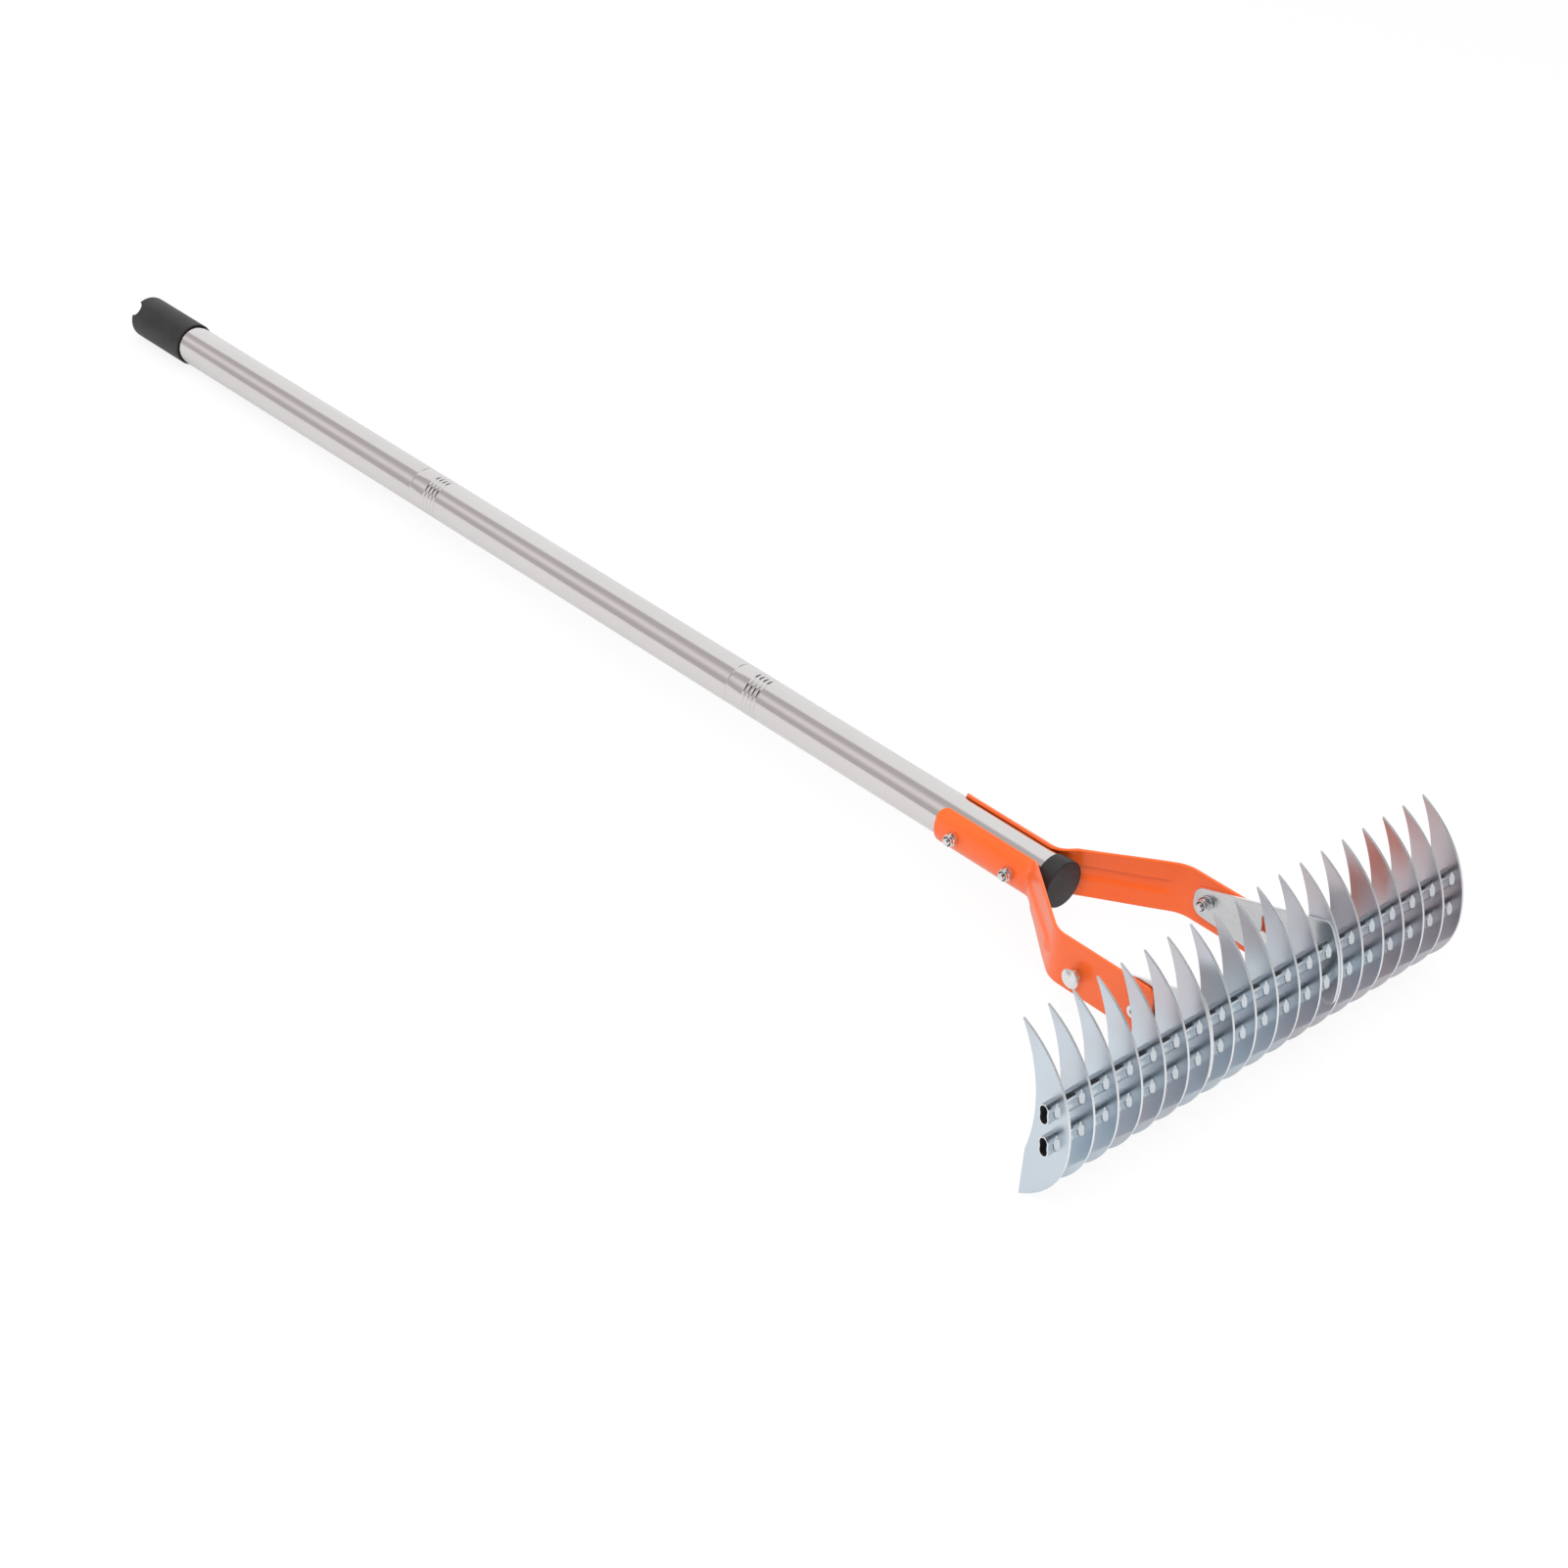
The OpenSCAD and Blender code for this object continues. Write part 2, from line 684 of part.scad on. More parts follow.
// The sharpened edge is one flat facet, ground from a chord of the lower front edge outwards
module edge_cutter() {
    heel_a = direction(heel - belly - [edge_r, 0]) + 360;
    start_a = 180 + edge_start;
    middle_a = (start_a + heel_a) / 2;
    chord_d = edge_r * cos((heel_a - start_a) / 2);
    slope = edge_cut / (edge_r - chord_d);
    out_d = edge_r + eps;
    length = 2 * edge_r;
    along_x(-blade_t / 2, belly + [edge_r, 0]) rotate(middle_a) rotate([90, 0, 0])
        translate([0, 0, -length / 2]) linear_extrude(length)
            polygon([[chord_d - eps, -slope * eps],
                     [out_d, slope * (out_d - chord_d)],
                     [out_d, -slope * eps]]);
}

module blade(i) {
    color("lightsteelblue") translate([blade_xs[i - 1], 0, 0]) difference() {
        across(-blade_t / 2, blade_t) polygon(blade_outline());
        bar_holes(-blade_t / 2 - eps, blade_t + 2 * eps);
        edge_cutter();
    }
}

placed() handle_tube_lower();
placed() handle_tube_middle();
placed() handle_tube_upper();
placed() joint_insert(lower_end);  // joint_insert_lower
placed() joint_insert(middle_end);  // joint_insert_upper
placed() tube_plug();
placed() end_cap();
placed() left_arm();
placed() right_arm();
placed() clamp_bolts();
placed() clamp_nuts();
placed() pivot_bolts();
placed() pivot_washers();
placed() pivot_nuts();
placed() stop_rivets();
placed() left_bracket();
placed() right_bracket();
placed() upper_crossbar();
placed() lower_crossbar();
for (i = [1:blade_count])
    placed() blade(i);
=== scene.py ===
"""Looks of the thatch rake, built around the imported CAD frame.

Shapes are set out in millimetres along the handle: +Y from the front of the tube plug to
the end cap, X across the blades, Z up from the handle's axis. TO_ROW tips the whole onto
the floor and turns it into metres.
"""
import math

import bmesh
import bpy
from mathutils import Matrix, Vector

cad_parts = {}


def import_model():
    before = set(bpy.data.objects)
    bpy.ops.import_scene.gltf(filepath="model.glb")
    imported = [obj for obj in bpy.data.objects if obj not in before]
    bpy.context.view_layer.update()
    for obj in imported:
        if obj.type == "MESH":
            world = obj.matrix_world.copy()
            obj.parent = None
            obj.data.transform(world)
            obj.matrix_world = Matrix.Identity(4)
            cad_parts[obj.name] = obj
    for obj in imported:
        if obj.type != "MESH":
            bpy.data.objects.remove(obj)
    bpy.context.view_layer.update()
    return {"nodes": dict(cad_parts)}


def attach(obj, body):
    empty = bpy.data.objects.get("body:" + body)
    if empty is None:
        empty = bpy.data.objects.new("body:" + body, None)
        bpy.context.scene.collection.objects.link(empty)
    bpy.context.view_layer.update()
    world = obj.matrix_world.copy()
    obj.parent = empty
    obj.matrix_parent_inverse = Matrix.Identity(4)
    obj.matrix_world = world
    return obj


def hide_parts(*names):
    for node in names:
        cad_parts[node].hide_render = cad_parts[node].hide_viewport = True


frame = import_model()

# Handle
TUBE_R = 16.0
TUBE_WALL = 1.0
BORE_R = TUBE_R - TUBE_WALL
TUBE_EDGE = 0.45
PLUG_FLANGE = 12.5
LOWER_LEN = 296.5
MIDDLE_LEN = 360.0
UPPER_LEN = 357.0
LOWER_END = PLUG_FLANGE + LOWER_LEN
MIDDLE_END = LOWER_END + MIDDLE_LEN
UPPER_END = MIDDLE_END + UPPER_LEN
RING_COUNT = 4
RING_PITCH = 3.9
RING_SETBACK = 17.5
RING_HALF_W = 1.4
RING_DEPTH = 0.6
PLUG_R = 17.0
PLUG_STEM = 12.0
PLUG_ROUND = 1.2
PLUG_BACK_ROUND = 0.3
PLUG_STEM_ROUND = 0.6
CAP_R = 17.5
CAP_BORE_R = TUBE_R + 0.05
CAP_LEN = 69.0
CAP_END = 20.0
CAP_ROUND = 5.0
CAP_LIP_ROUND = 0.8
CAP_BORE_ROUND = 0.4
CAP_BEVEL = 0.7
HANDLE_END = UPPER_END + CAP_END
NOTCH_W = 12.0
NOTCH_DEPTH = 9.0
NOTCH_TURN = math.radians(139)

# Spacing across the head: a bracket lies against the inner face of the third blade from the middle
BLADES = 19
PITCH = 21.2
BLADE_T = 1.8
BLADE_X = [(i - (BLADES - 1) / 2) * PITCH for i in range(BLADES)]
SIDE_GAP = 0.3
BRACKET_T = 2.0
BRACKET_OUT = 3 * PITCH - BLADE_T / 2
BRACKET_IN = BRACKET_OUT - BRACKET_T

# Arms
ARM_T = 2.5
SHELL_R = TUBE_R + 0.2
SHELL_OUT = SHELL_R + ARM_T
CLAMP_LEN = 86.0
CLAMP_START = 14.0
CLAMP_TOP = 67.0
CLAMP_LOW = 53.0
CLAMP_END = CLAMP_START + CLAMP_LEN
CLAMP_BOLT_INSET = 18.0
CLAMP_BOLTS = (CLAMP_START + CLAMP_BOLT_INSET, CLAMP_END - CLAMP_BOLT_INSET)
SPLAY = math.radians(36.5)
ARM_X = BRACKET_OUT + SIDE_GAP
ARM_OUT = ARM_X + ARM_T
BEND_1 = 15.0
BEND_2 = 22.0
FLAT_TOP = 16.0
FLAT_LOW = 22.0
ARM_ROUND = 7.0
ARM_EDGE = 0.8

# Pivot and stop
PIVOT_Y = -71.0
STOP_REACH = 47.0
STOP_Y = PIVOT_Y - STOP_REACH
ARM_PAST_STOP = 13.0
ARM_END_Y = STOP_Y - ARM_PAST_STOP
SWING = 15.0
BOLT_R = 2.5
BOLT_PAST = 2.0
HEAD_R = 6.8
HEAD_H = 3.3
COLLAR_LEN = 6.5
NUT_AF = 8.6
NUT_HEX_H = 4.2
NUT_H = 6.2
WASHER_R = 5.0
WASHER_T = 1.0
RIVET_R = 5.5
RIVET_H = 2.2
RIVET_CROWN_R = RIVET_R - 1.2
RIVET_TAIL_R = RIVET_R - 1.0
RIVET_TAIL_H = 1.5
RIVET_HOLLOW_R = 1.8
RIVET_HOLLOW_END_R = RIVET_HOLLOW_R - 0.2
RIVET_HOLLOW_DEPTH = 3.0
NUT_SEAT = BRACKET_IN - SIDE_GAP - WASHER_T

# Brackets
BRACKET_EYE = 11.5
BRACKET_TOP = 6.0
BRACKET_LOW = 13.0
BRACKET_RISE = 21.5
BRACKET_DROP = 15.0
BRACKET_INSET = 0.5
BRACKET_ROUND = 6.0
BRACKET_EYE_ROUND = (BRACKET_TOP + BRACKET_LOW) * 0.45
BRACKET_EDGE = 0.3
SLOT_R = BOLT_R + 0.3

# Blades and crossbars; outline points are (y, z)
BLADE_GAP = 16.0
BELLY_Z = -8.0
TIP_BACK = 47.0
TIP_RISE = 72.0
HEEL_BACK = 32.0
HEEL_DROP = 50.5
WAIST_DROP = 16.0
BELLY = Vector((ARM_END_Y - BLADE_GAP - HEEL_BACK, BELLY_Z))
TIP = BELLY + Vector((TIP_BACK, TIP_RISE))
HEEL = BELLY + Vector((HEEL_BACK, -HEEL_DROP))
WAIST = Vector((HEEL.x, BELLY.y - WAIST_DROP))
FRONT_R = (TIP_BACK ** 2 + TIP_RISE ** 2) / (2 * TIP_BACK)
EDGE_R = (HEEL_BACK ** 2 + HEEL_DROP ** 2) / (2 * HEEL_BACK)
HOLLOW_R = 110.0
EDGE_START = 196.5
EDGE_CUT = 1.1
BAR_H = 14.2
BAR_W = 7.5
BAR_WALL = 0.8
BAR_LEAN = math.radians(8)
BAR_HALF_STEP = 11.2
BAR_STEP = BAR_HALF_STEP * Vector((math.sin(BAR_LEAN), math.cos(BAR_LEAN)))
BARS = BELLY + Vector((14.0, 13.0))
UPPER_BAR = BARS + BAR_STEP
LOWER_BAR = BARS - BAR_STEP
BAR_PAST = 9.0
BAR_HALF = BLADE_X[-1] + BAR_PAST

# Segments round turned pieces
CAP_SEG = 160
TUBE_SEG = 128
NUT_SEG = 72
HEAD_SEG = 64
BOLT_SEG = 40

# The floor passes under the heels and touches the rounded rim of the end cap
RIM = Vector((HANDLE_END - CAP_ROUND, CAP_ROUND - CAP_R))
RIM_AWAY = RIM - HEEL
TILT = math.atan2(RIM_AWAY.y, RIM_AWAY.x) - math.asin(CAP_ROUND / RIM_AWAY.length)
LIFT = HEEL.x * math.sin(TILT) - HEEL.y * math.cos(TILT)
FRONT_MOST = (BELLY.x + EDGE_R) * math.cos(TILT) + BELLY.y * math.sin(TILT) - EDGE_R
BACK_MOST = RIM.x * math.cos(TILT) - RIM.y * math.sin(TILT) + CAP_ROUND
SHIFT = -(FRONT_MOST + BACK_MOST) / 2
PLACING = Matrix.Translation((0, SHIFT, LIFT)) @ Matrix.Rotation(-TILT, 4, "X")
TO_ROW = Matrix.Scale(0.001, 4) @ PLACING


# Outline helpers
def arc(centre, r, a0, a1, n):
    """n + 1 points of an arc, angles in degrees."""
    out = []
    for i in range(n + 1):
        a = math.radians(a0 + (a1 - a0) * i / n)
        out.append(Vector((centre[0] + r * math.cos(a), centre[1] + r * math.sin(a))))
    return out


def angle_of(v):
    return math.degrees(math.atan2(v[1], v[0]))


def rounded(points, radii, n=6, closed=True):
    """Rounds the corners of an outline or profile."""
    out = []
    count = len(points)
    for i in range(count):
        c = Vector(points[i])
        r = radii[i]
        if r <= 0 or (not closed and i in (0, count - 1)):
            out.append(c)
            continue
        u = (Vector(points[i - 1]) - c).normalized()
        v = (Vector(points[(i + 1) % count]) - c).normalized()
        half = math.acos(max(-1.0, min(1.0, u.dot(v)))) / 2
        run = r / math.tan(half)
        m = c + (u + v).normalized() * (r / math.sin(half))
        a0 = angle_of(c + u * run - m)
        turn = angle_of(c + v * run - m) - a0
        turn = (turn + 180) % 360 - 180
        out += arc(m, r, a0, a0 + turn, n)
    return out


class Shape:
    """Points and faces gathered for one piece; kind picks a face's material."""

    def __init__(self):
        self.verts = []
        self.faces = []
        self.kinds = []
        self.kind = 0

    def add(self, verts, faces):
        base = len(self.verts)
        self.verts += [tuple(v) for v in verts]
        self.faces += [tuple(i + base for i in f) for f in faces]
        self.kinds += [self.kind] * len(faces)
        return self

    def of_kind(self, kind):
        self.kind = kind
        return self

    def lathe(self, profile, at, seg=96, closed=False):
        """Turns (along, radius) points round an axis that at() places."""
        verts, faces, rings = [], [], []
        for a, r in profile:
            if r < 1e-6:
                rings.append([len(verts)] * seg)
                verts.append(at(a, 0.0, 0.0))
            else:
                rings.append(range(len(verts), len(verts) + seg))
                verts += [at(a, r, 2 * math.pi * k / seg) for k in range(seg)]
        pairs = list(zip(rings, rings[1:]))
        if closed:
            pairs.append((rings[-1], rings[0]))
        for p, q in pairs:
            for k in range(seg):
                m = (k + 1) % seg
                face = (p[k], p[m], q[m], q[k])
                face = tuple(dict.fromkeys(face))
                if len(face) > 2:
                    faces.append(face)
        return self.add(verts, faces)

    def loft(self, loops, cap_start=True, cap_end=True):
        """Joins closed loops of equal length."""
        n = len(loops[0])
        verts = [p for loop in loops for p in loop]
        faces = []
        for i in range(len(loops) - 1):
            for k in range(n):
                m = (k + 1) % n
                faces.append((i * n + k, i * n + m, (i + 1) * n + m, (i + 1) * n + k))
        if cap_start:
            faces.append(tuple(range(n)))
        if cap_end:
            faces.append(tuple(range((len(loops) - 1) * n, len(loops) * n)))
        return self.add(verts, faces)


def along_handle(a, r, t):
    return (r * math.cos(t), a, r * math.sin(t))


def along_x(x0, sign, y, z=0.0):
    """Axis along X from x0; sign is the direction in which a grows."""
    return lambda a, r, t: (x0 + sign * a, y + r * math.cos(t), z + r * math.sin(t))


# Pieces
def linked(name, data):
    """A new object in the scene."""
    obj = bpy.data.objects.new(name, data)
    bpy.context.scene.collection.objects.link(obj)
    return obj


def mesh_of(name, shape):
    """The shape as a mesh in the row frame, with all faces turned outward."""
    mesh = bpy.data.meshes.new(name)
    mesh.from_pydata([TO_ROW @ Vector(v) for v in shape.verts], [], shape.faces)
    mesh.polygons.foreach_set("material_index", shape.kinds)
    bm = bmesh.new()
    bm.from_mesh(mesh)
    bmesh.ops.remove_doubles(bm, verts=bm.verts, dist=1e-7)
    bmesh.ops.recalc_face_normals(bm, faces=bm.faces)
    bm.to_mesh(mesh)
    bm.free()
    return mesh


def piece(name, shape, mats, body, nodes, smooth=38, bevel=0.0):
    """Makes a mesh object in the row frame that rides on a body and stands for CAD nodes."""
    mesh = mesh_of(name, shape)
    obj = linked(name, mesh)
    for mat in mats:
        mesh.materials.append(mat)
    finish_mesh(obj, smooth, bevel)
    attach(obj, body)
    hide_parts(*nodes)
    return obj


def finish_mesh(obj, smooth, bevel):
    """Shades faces smooth up to an angle in degrees, and rounds the sharper edges by bevel."""
    mesh = obj.data
    mesh.polygons.foreach_set("use_smooth", [True] * len(mesh.polygons))
    mesh.set_sharp_from_angle(angle=math.radians(smooth))
    if bevel:
        mod = obj.modifiers.new("edges", "BEVEL")
        mod.width = bevel * 0.001
        mod.segments = 2
        mod.limit_method = "ANGLE"
        mod.angle_limit = math.radians(smooth)
        mod.harden_normals = True
        apply_modifiers(obj)


def apply_modifiers(obj):
    dg = bpy.context.evaluated_depsgraph_get()
    baked = bpy.data.meshes.new_from_object(
        obj.evaluated_get(dg), preserve_all_data_layers=True, depsgraph=dg)
    old = obj.data
    obj.modifiers.clear()
    obj.data = baked
    baked.name = obj.name
    bpy.data.meshes.remove(old)


# Node helpers for materials and the world
def feed(tree, value, socket):
    """Sets a socket to a number or colour, or links another socket to it."""
    if isinstance(value, bpy.types.NodeSocket):
        tree.links.new(value, socket)
    elif isinstance(value, tuple):
        socket.default_value = (*value, 1)
    else:
        socket.default_value = value


def maths(tree, operation, *values):
    node = tree.nodes.new("ShaderNodeMath")
    node.operation = operation
    for value, socket in zip(values, node.inputs):
        feed(tree, value, socket)
    return node.outputs[0]


def split_xyz(tree, coords):
    node = tree.nodes.new("ShaderNodeSeparateXYZ")
    tree.links.new(coords, node.inputs[0])
    return node.outputs


def map_range(tree, value, start, full, low, high):
    """A value from low, where the given one is at start, to high, where it is at full."""
    node = tree.nodes.new("ShaderNodeMapRange")
    feed(tree, value, node.inputs["Value"])
    feed(tree, start, node.inputs["From Min"])
    feed(tree, full, node.inputs["From Max"])
    feed(tree, low, node.inputs["To Min"])
    feed(tree, high, node.inputs["To Max"])
    return node.outputs["Result"]


def mixed(tree, share, low, high):
    """A colour from low, where the share is 0, to high, where it is 1."""
    node = tree.nodes.new("ShaderNodeMix")
    node.data_type = "RGBA"
    factor, colour_a, colour_b, result = 0, 6, 7, 2
    feed(tree, share, node.inputs[factor])
    feed(tree, low, node.inputs[colour_a])
    feed(tree, high, node.inputs[colour_b])
    return node.outputs[result]


def ramp(tree, fac, stops):
    """A colour that runs through (position, colour) stops."""
    node = tree.nodes.new("ShaderNodeValToRGB")
    elements = node.color_ramp.elements
    while len(elements) < len(stops):
        elements.new(0.5)
    for element, (pos, colour) in zip(elements, stops):
        element.position = pos
        element.color = (*colour, 1)
    tree.links.new(fac, node.inputs["Fac"])
    return node.outputs["Color"]


# Materials; most of a noise lies between NOISE_LOW and NOISE_HIGH
NOISE_LOW = 0.3
NOISE_HIGH = 0.7
TONE_STOPS = (0.36, 0.50, 0.64)


class Nodes:
    """A node material with a Principled shader, and short ways to feed it."""

    def __init__(self, name, **constants):
        self.mat = bpy.data.materials.new(name)
        self.mat.use_nodes = True
        self.tree = self.mat.node_tree
        self.shader = self.tree.nodes["Principled BSDF"]
        for key, value in constants.items():
            self.shader.inputs[key.replace("_", " ")].default_value = value
        self.coords = self.tree.nodes.new("ShaderNodeTexCoord").outputs["Object"]

    def link(self, out, socket):
        self.tree.links.new(out, socket)

    def noise(self, scale, stretch=(1, 1, 1), detail=3.0, rough=0.55):
        mapping = self.tree.nodes.new("ShaderNodeMapping")
        mapping.inputs["Scale"].default_value = stretch
        self.link(self.coords, mapping.inputs["Vector"])
        tex = self.tree.nodes.new("ShaderNodeTexNoise")
        tex.inputs["Scale"].default_value = scale
        tex.inputs["Detail"].default_value = detail
        tex.inputs["Roughness"].default_value = rough
        self.link(mapping.outputs["Vector"], tex.inputs["Vector"])
        return tex.outputs["Fac"]

    def across(self, value, slope):
        """The value, changed by slope for each metre to the right."""
        right = split_xyz(self.tree, self.coords)["X"]
        return maths(self.tree, "MULTIPLY_ADD", right, slope, value)

    def colour(self, fac, stops):
        self.link(ramp(self.tree, fac, stops), self.shader.inputs["Base Color"])

    def two_tone(self, noise, low, high):
        self.colour(noise, [(NOISE_LOW, low), (NOISE_HIGH, high)])

    def roughness(self, noise, low, high):
        value = map_range(self.tree, noise, NOISE_LOW, NOISE_HIGH, low, high)
        self.link(value, self.shader.inputs["Roughness"])

    def bump(self, height, strength, distance):
        node = self.tree.nodes.new("ShaderNodeBump")
        node.inputs["Strength"].default_value = strength
        node.inputs["Distance"].default_value = distance
        self.link(height, node.inputs["Height"])
        self.link(node.outputs["Normal"], self.shader.inputs["Normal"])


def tube_material():
    m = Nodes("tube_stainless", Metallic=1.0)
    streaks = m.noise(1.0, stretch=(900, 5, 900), detail=2.0)
    clouds = m.noise(9.0)
    m.two_tone(clouds, (0.685, 0.660, 0.662), (0.715, 0.690, 0.692))
    m.roughness(streaks, 0.10, 0.17)
    m.bump(streaks, strength=0.03, distance=0.0002)
    return m.mat


def zinc_material(name, tones, rough_low, rough_high, metallic=1.0):
    """Plated steel whose tone wanders at random and shifts across the head: mauve and darker at the
    right as painted shade and a painted reflection of the orange arm, over blue-grey to pale at the
    left.
    """
    m = Nodes(name, Metallic=metallic)
    clouds = m.noise(26.0, detail=4.0, rough=0.6)
    # Random tone plus a painted slope across the head; the slope darkens and warms the right side as
    # painted shade and reflection
    tone_and_painted_shade = m.across(m.noise(11.0, detail=2.0), -0.6)
    grain = m.noise(260.0, detail=2.0)
    m.colour(tone_and_painted_shade, list(zip(TONE_STOPS, tones)))
    m.roughness(clouds, rough_low, rough_high)
    m.bump(grain, strength=0.015, distance=0.0002)
    return m.mat


def paint_material():
    m = Nodes("paint_orange", Coat_Weight=0.25, Coat_Roughness=0.08, Specular_IOR_Level=0.5)
    clouds = m.noise(14.0)
    peel = m.noise(380.0, detail=2.0)
    m.two_tone(clouds, (0.93, 0.122, 0.010), (0.98, 0.142, 0.015))
    m.roughness(clouds, 0.30, 0.40)
    m.bump(peel, strength=0.04, distance=0.0004)
    return m.mat


def plastic_material():
    m = Nodes("plastic_black", Specular_IOR_Level=0.45)
    clouds = m.noise(60.0)
    grain = m.noise(900.0)
    m.two_tone(clouds, (0.015, 0.015, 0.016), (0.026, 0.025, 0.027))
    m.roughness(grain, 0.42, 0.60)
    m.bump(grain, strength=0.18, distance=0.0003)
    return m.mat


BLADE_TONES = [(0.60, 0.57, 0.60), (0.59, 0.61, 0.665), (0.62, 0.70, 0.77)]
# Edges: rougher, partly matte sheared zinc, in tones lighter than the faces as a painted highlight
EDGE_HIGHLIGHT_TONES = [(0.78, 0.80, 0.82), (0.82, 0.85, 0.88), (0.86, 0.88, 0.90)]
PLATE_TONES = [(0.58, 0.60, 0.62), (0.61, 0.65, 0.67), (0.65, 0.68, 0.70)]
BAR_TONES = [(0.56, 0.58, 0.60), (0.57, 0.62, 0.66), (0.61, 0.66, 0.70)]
# Dark tones: painted shade for the insides of the bar ends and the creases beside the ears
PAINTED_SHADE_TONES = [(0.17, 0.17, 0.17), (0.18, 0.185, 0.19), (0.20, 0.20, 0.205)]
BOLT_TONES = [(0.70, 0.70, 0.71), (0.74, 0.75, 0.76), (0.78, 0.79, 0.80)]

STEEL = tube_material()
BLADE_ZINC = zinc_material("zinc_blade", BLADE_TONES, 0.26, 0.34)
# Painted highlight along cut edges, plate edges and bar rims
EDGE_HIGHLIGHT_ZINC = zinc_material("zinc_edge_highlight", EDGE_HIGHLIGHT_TONES, 0.38, 0.50, metallic=0.85)
PLATE_ZINC = zinc_material("zinc_plate", PLATE_TONES, 0.20, 0.30)
BAR_ZINC = zinc_material("zinc_bar", BAR_TONES, 0.15, 0.22)
# Painted shade for bores and creases
PAINTED_SHADE_ZINC = zinc_material("zinc_painted_shade", PAINTED_SHADE_TONES, 0.45, 0.60)
BOLT_ZINC = zinc_material("zinc_bolt", BOLT_TONES, 0.20, 0.28)
PAINT = paint_material()
BLACK = plastic_material()


# Handle pieces
def tube_profile(y0, y1, ringed):
    """Outer wall with rolled rings before the far end, rounded ends, then the bore."""
    edge_r = TUBE_R - TUBE_EDGE
    edge_steps, ring_steps = 4, 12
    outer = [(y0, BORE_R), (y0, edge_r)]
    outer += arc((y0 + TUBE_EDGE, edge_r), TUBE_EDGE, 180, 90, edge_steps)
    if ringed:
        for i in reversed(range(RING_COUNT)):
            c = y1 - RING_SETBACK - i * RING_PITCH
            for k in range(ring_steps + 1):
                u = 2 * k / ring_steps - 1
                dip = RING_DEPTH * math.cos(u * math.pi / 2) ** 2
                outer.append((c + u * RING_HALF_W, TUBE_R - dip))
    outer += arc((y1 - TUBE_EDGE, edge_r), TUBE_EDGE, 90, 0, edge_steps)
    outer.append((y1, BORE_R))
    return outer


def tube(name, node, y0, y1, ringed):
    shape = Shape().lathe(tube_profile(y0, y1, ringed), along_handle, TUBE_SEG, closed=True)
    piece(name, shape, [STEEL], "handle", [node])


tube("tube_lower", "handle_tube_lower", PLUG_FLANGE, LOWER_END, True)
tube("tube_middle", "handle_tube_middle", LOWER_END, MIDDLE_END, True)
tube("tube_upper", "handle_tube_upper", MIDDLE_END, UPPER_END, False)

for insert in ("joint_insert_lower", "joint_insert_upper"):
    insert_mats = frame["nodes"][insert].data.materials
    insert_mats.clear()
    insert_mats.append(BLACK)


def plug():
    stem_end = PLUG_FLANGE + PLUG_STEM
    corners = [(0, 0), (0, PLUG_R), (PLUG_FLANGE, PLUG_R), (PLUG_FLANGE, BORE_R),
               (stem_end, BORE_R), (stem_end, 0)]
    radii = [0, PLUG_ROUND, PLUG_BACK_ROUND, 0, PLUG_STEM_ROUND, 0]
    shape = Shape().lathe(rounded(corners, radii, closed=False), along_handle, TUBE_SEG)
    piece("plug", shape, [BLACK], "handle", ["tube_plug"])


plug()


def notch_cutter():
    """A slot with a round base that runs right across the cap's end."""
    r = NOTCH_W / 2
    base_y = HANDLE_END - NOTCH_DEPTH + r
    past_end = HANDLE_END + 10.0
    reach = 30.0
    section = [Vector((-r, past_end)), *arc((0, base_y), r, 180, 360, 24), Vector((r, past_end))]
    c, s = math.cos(NOTCH_TURN), math.sin(NOTCH_TURN)
    loops = []
    for d in (-reach, reach):
        loops.append([(d * c - p.x * s, p.y, d * s + p.x * c) for p in section])
    return Shape().loft(loops)


def cap():
    lip = HANDLE_END - CAP_LEN
    corners = [(lip, CAP_BORE_R), (lip, CAP_R), (HANDLE_END, CAP_R), (HANDLE_END, 0),
               (UPPER_END, 0), (UPPER_END, CAP_BORE_R)]
    profile = rounded(corners, [CAP_BORE_ROUND, CAP_LIP_ROUND, CAP_ROUND, 0, 0, 0], n=10)
    shape = Shape().lathe(profile, along_handle, CAP_SEG, closed=True)
    body = piece("cap", shape, [BLACK], "handle", ["end_cap"], smooth=50)
    mesh = mesh_of("notch", notch_cutter())
    cutter = linked("notch", mesh)
    mod = body.modifiers.new("notch", "BOOLEAN")
    mod.operation = "DIFFERENCE"
    mod.object = cutter
    mod.solver = "EXACT"
    apply_modifiers(body)
    bpy.data.objects.remove(cutter)
    bpy.data.meshes.remove(mesh)
    finish_mesh(body, smooth=40, bevel=CAP_BEVEL)


cap()


# Arms: one pressed sheet, whose inner face follows a path in plan
RUN_1 = BEND_1 * math.tan(SPLAY / 2)
RUN_2 = BEND_2 * math.tan(SPLAY / 2)
SLANT = (ARM_X - SHELL_R) / math.sin(SPLAY)
CORNER_2_Y = CLAMP_START - SLANT * math.cos(SPLAY)
S_BEND_1 = CLAMP_LEN - RUN_1
S_SLANT = S_BEND_1 + BEND_1 * SPLAY
S_BEND_2 = S_SLANT + SLANT - RUN_1 - RUN_2
S_FLAT = S_BEND_2 + BEND_2 * SPLAY
ARM_LEN = S_FLAT + CORNER_2_Y - RUN_2 - ARM_END_Y
FAN_MARGIN = 3.0
FAN_SHARE = 0.8
FAN_START = S_BEND_1 - FAN_MARGIN
FAN_END = S_SLANT + FAN_MARGIN
# Stiffening channel: along the arm in millimetres, across it by shares of the sheet's width
CHANNEL_START = S_SLANT - 5.0
CHANNEL_START_RUN = 7.0
CHANNEL_END = S_BEND_2 + 3.0
CHANNEL_END_RUN = 9.0
CHANNEL_LOW = 0.33
CHANNEL_LOW_RUN = 0.12
CHANNEL_HIGH = 0.64
CHANNEL_HIGH_RUN = 0.03
CHANNEL_DEPTH = 2.0


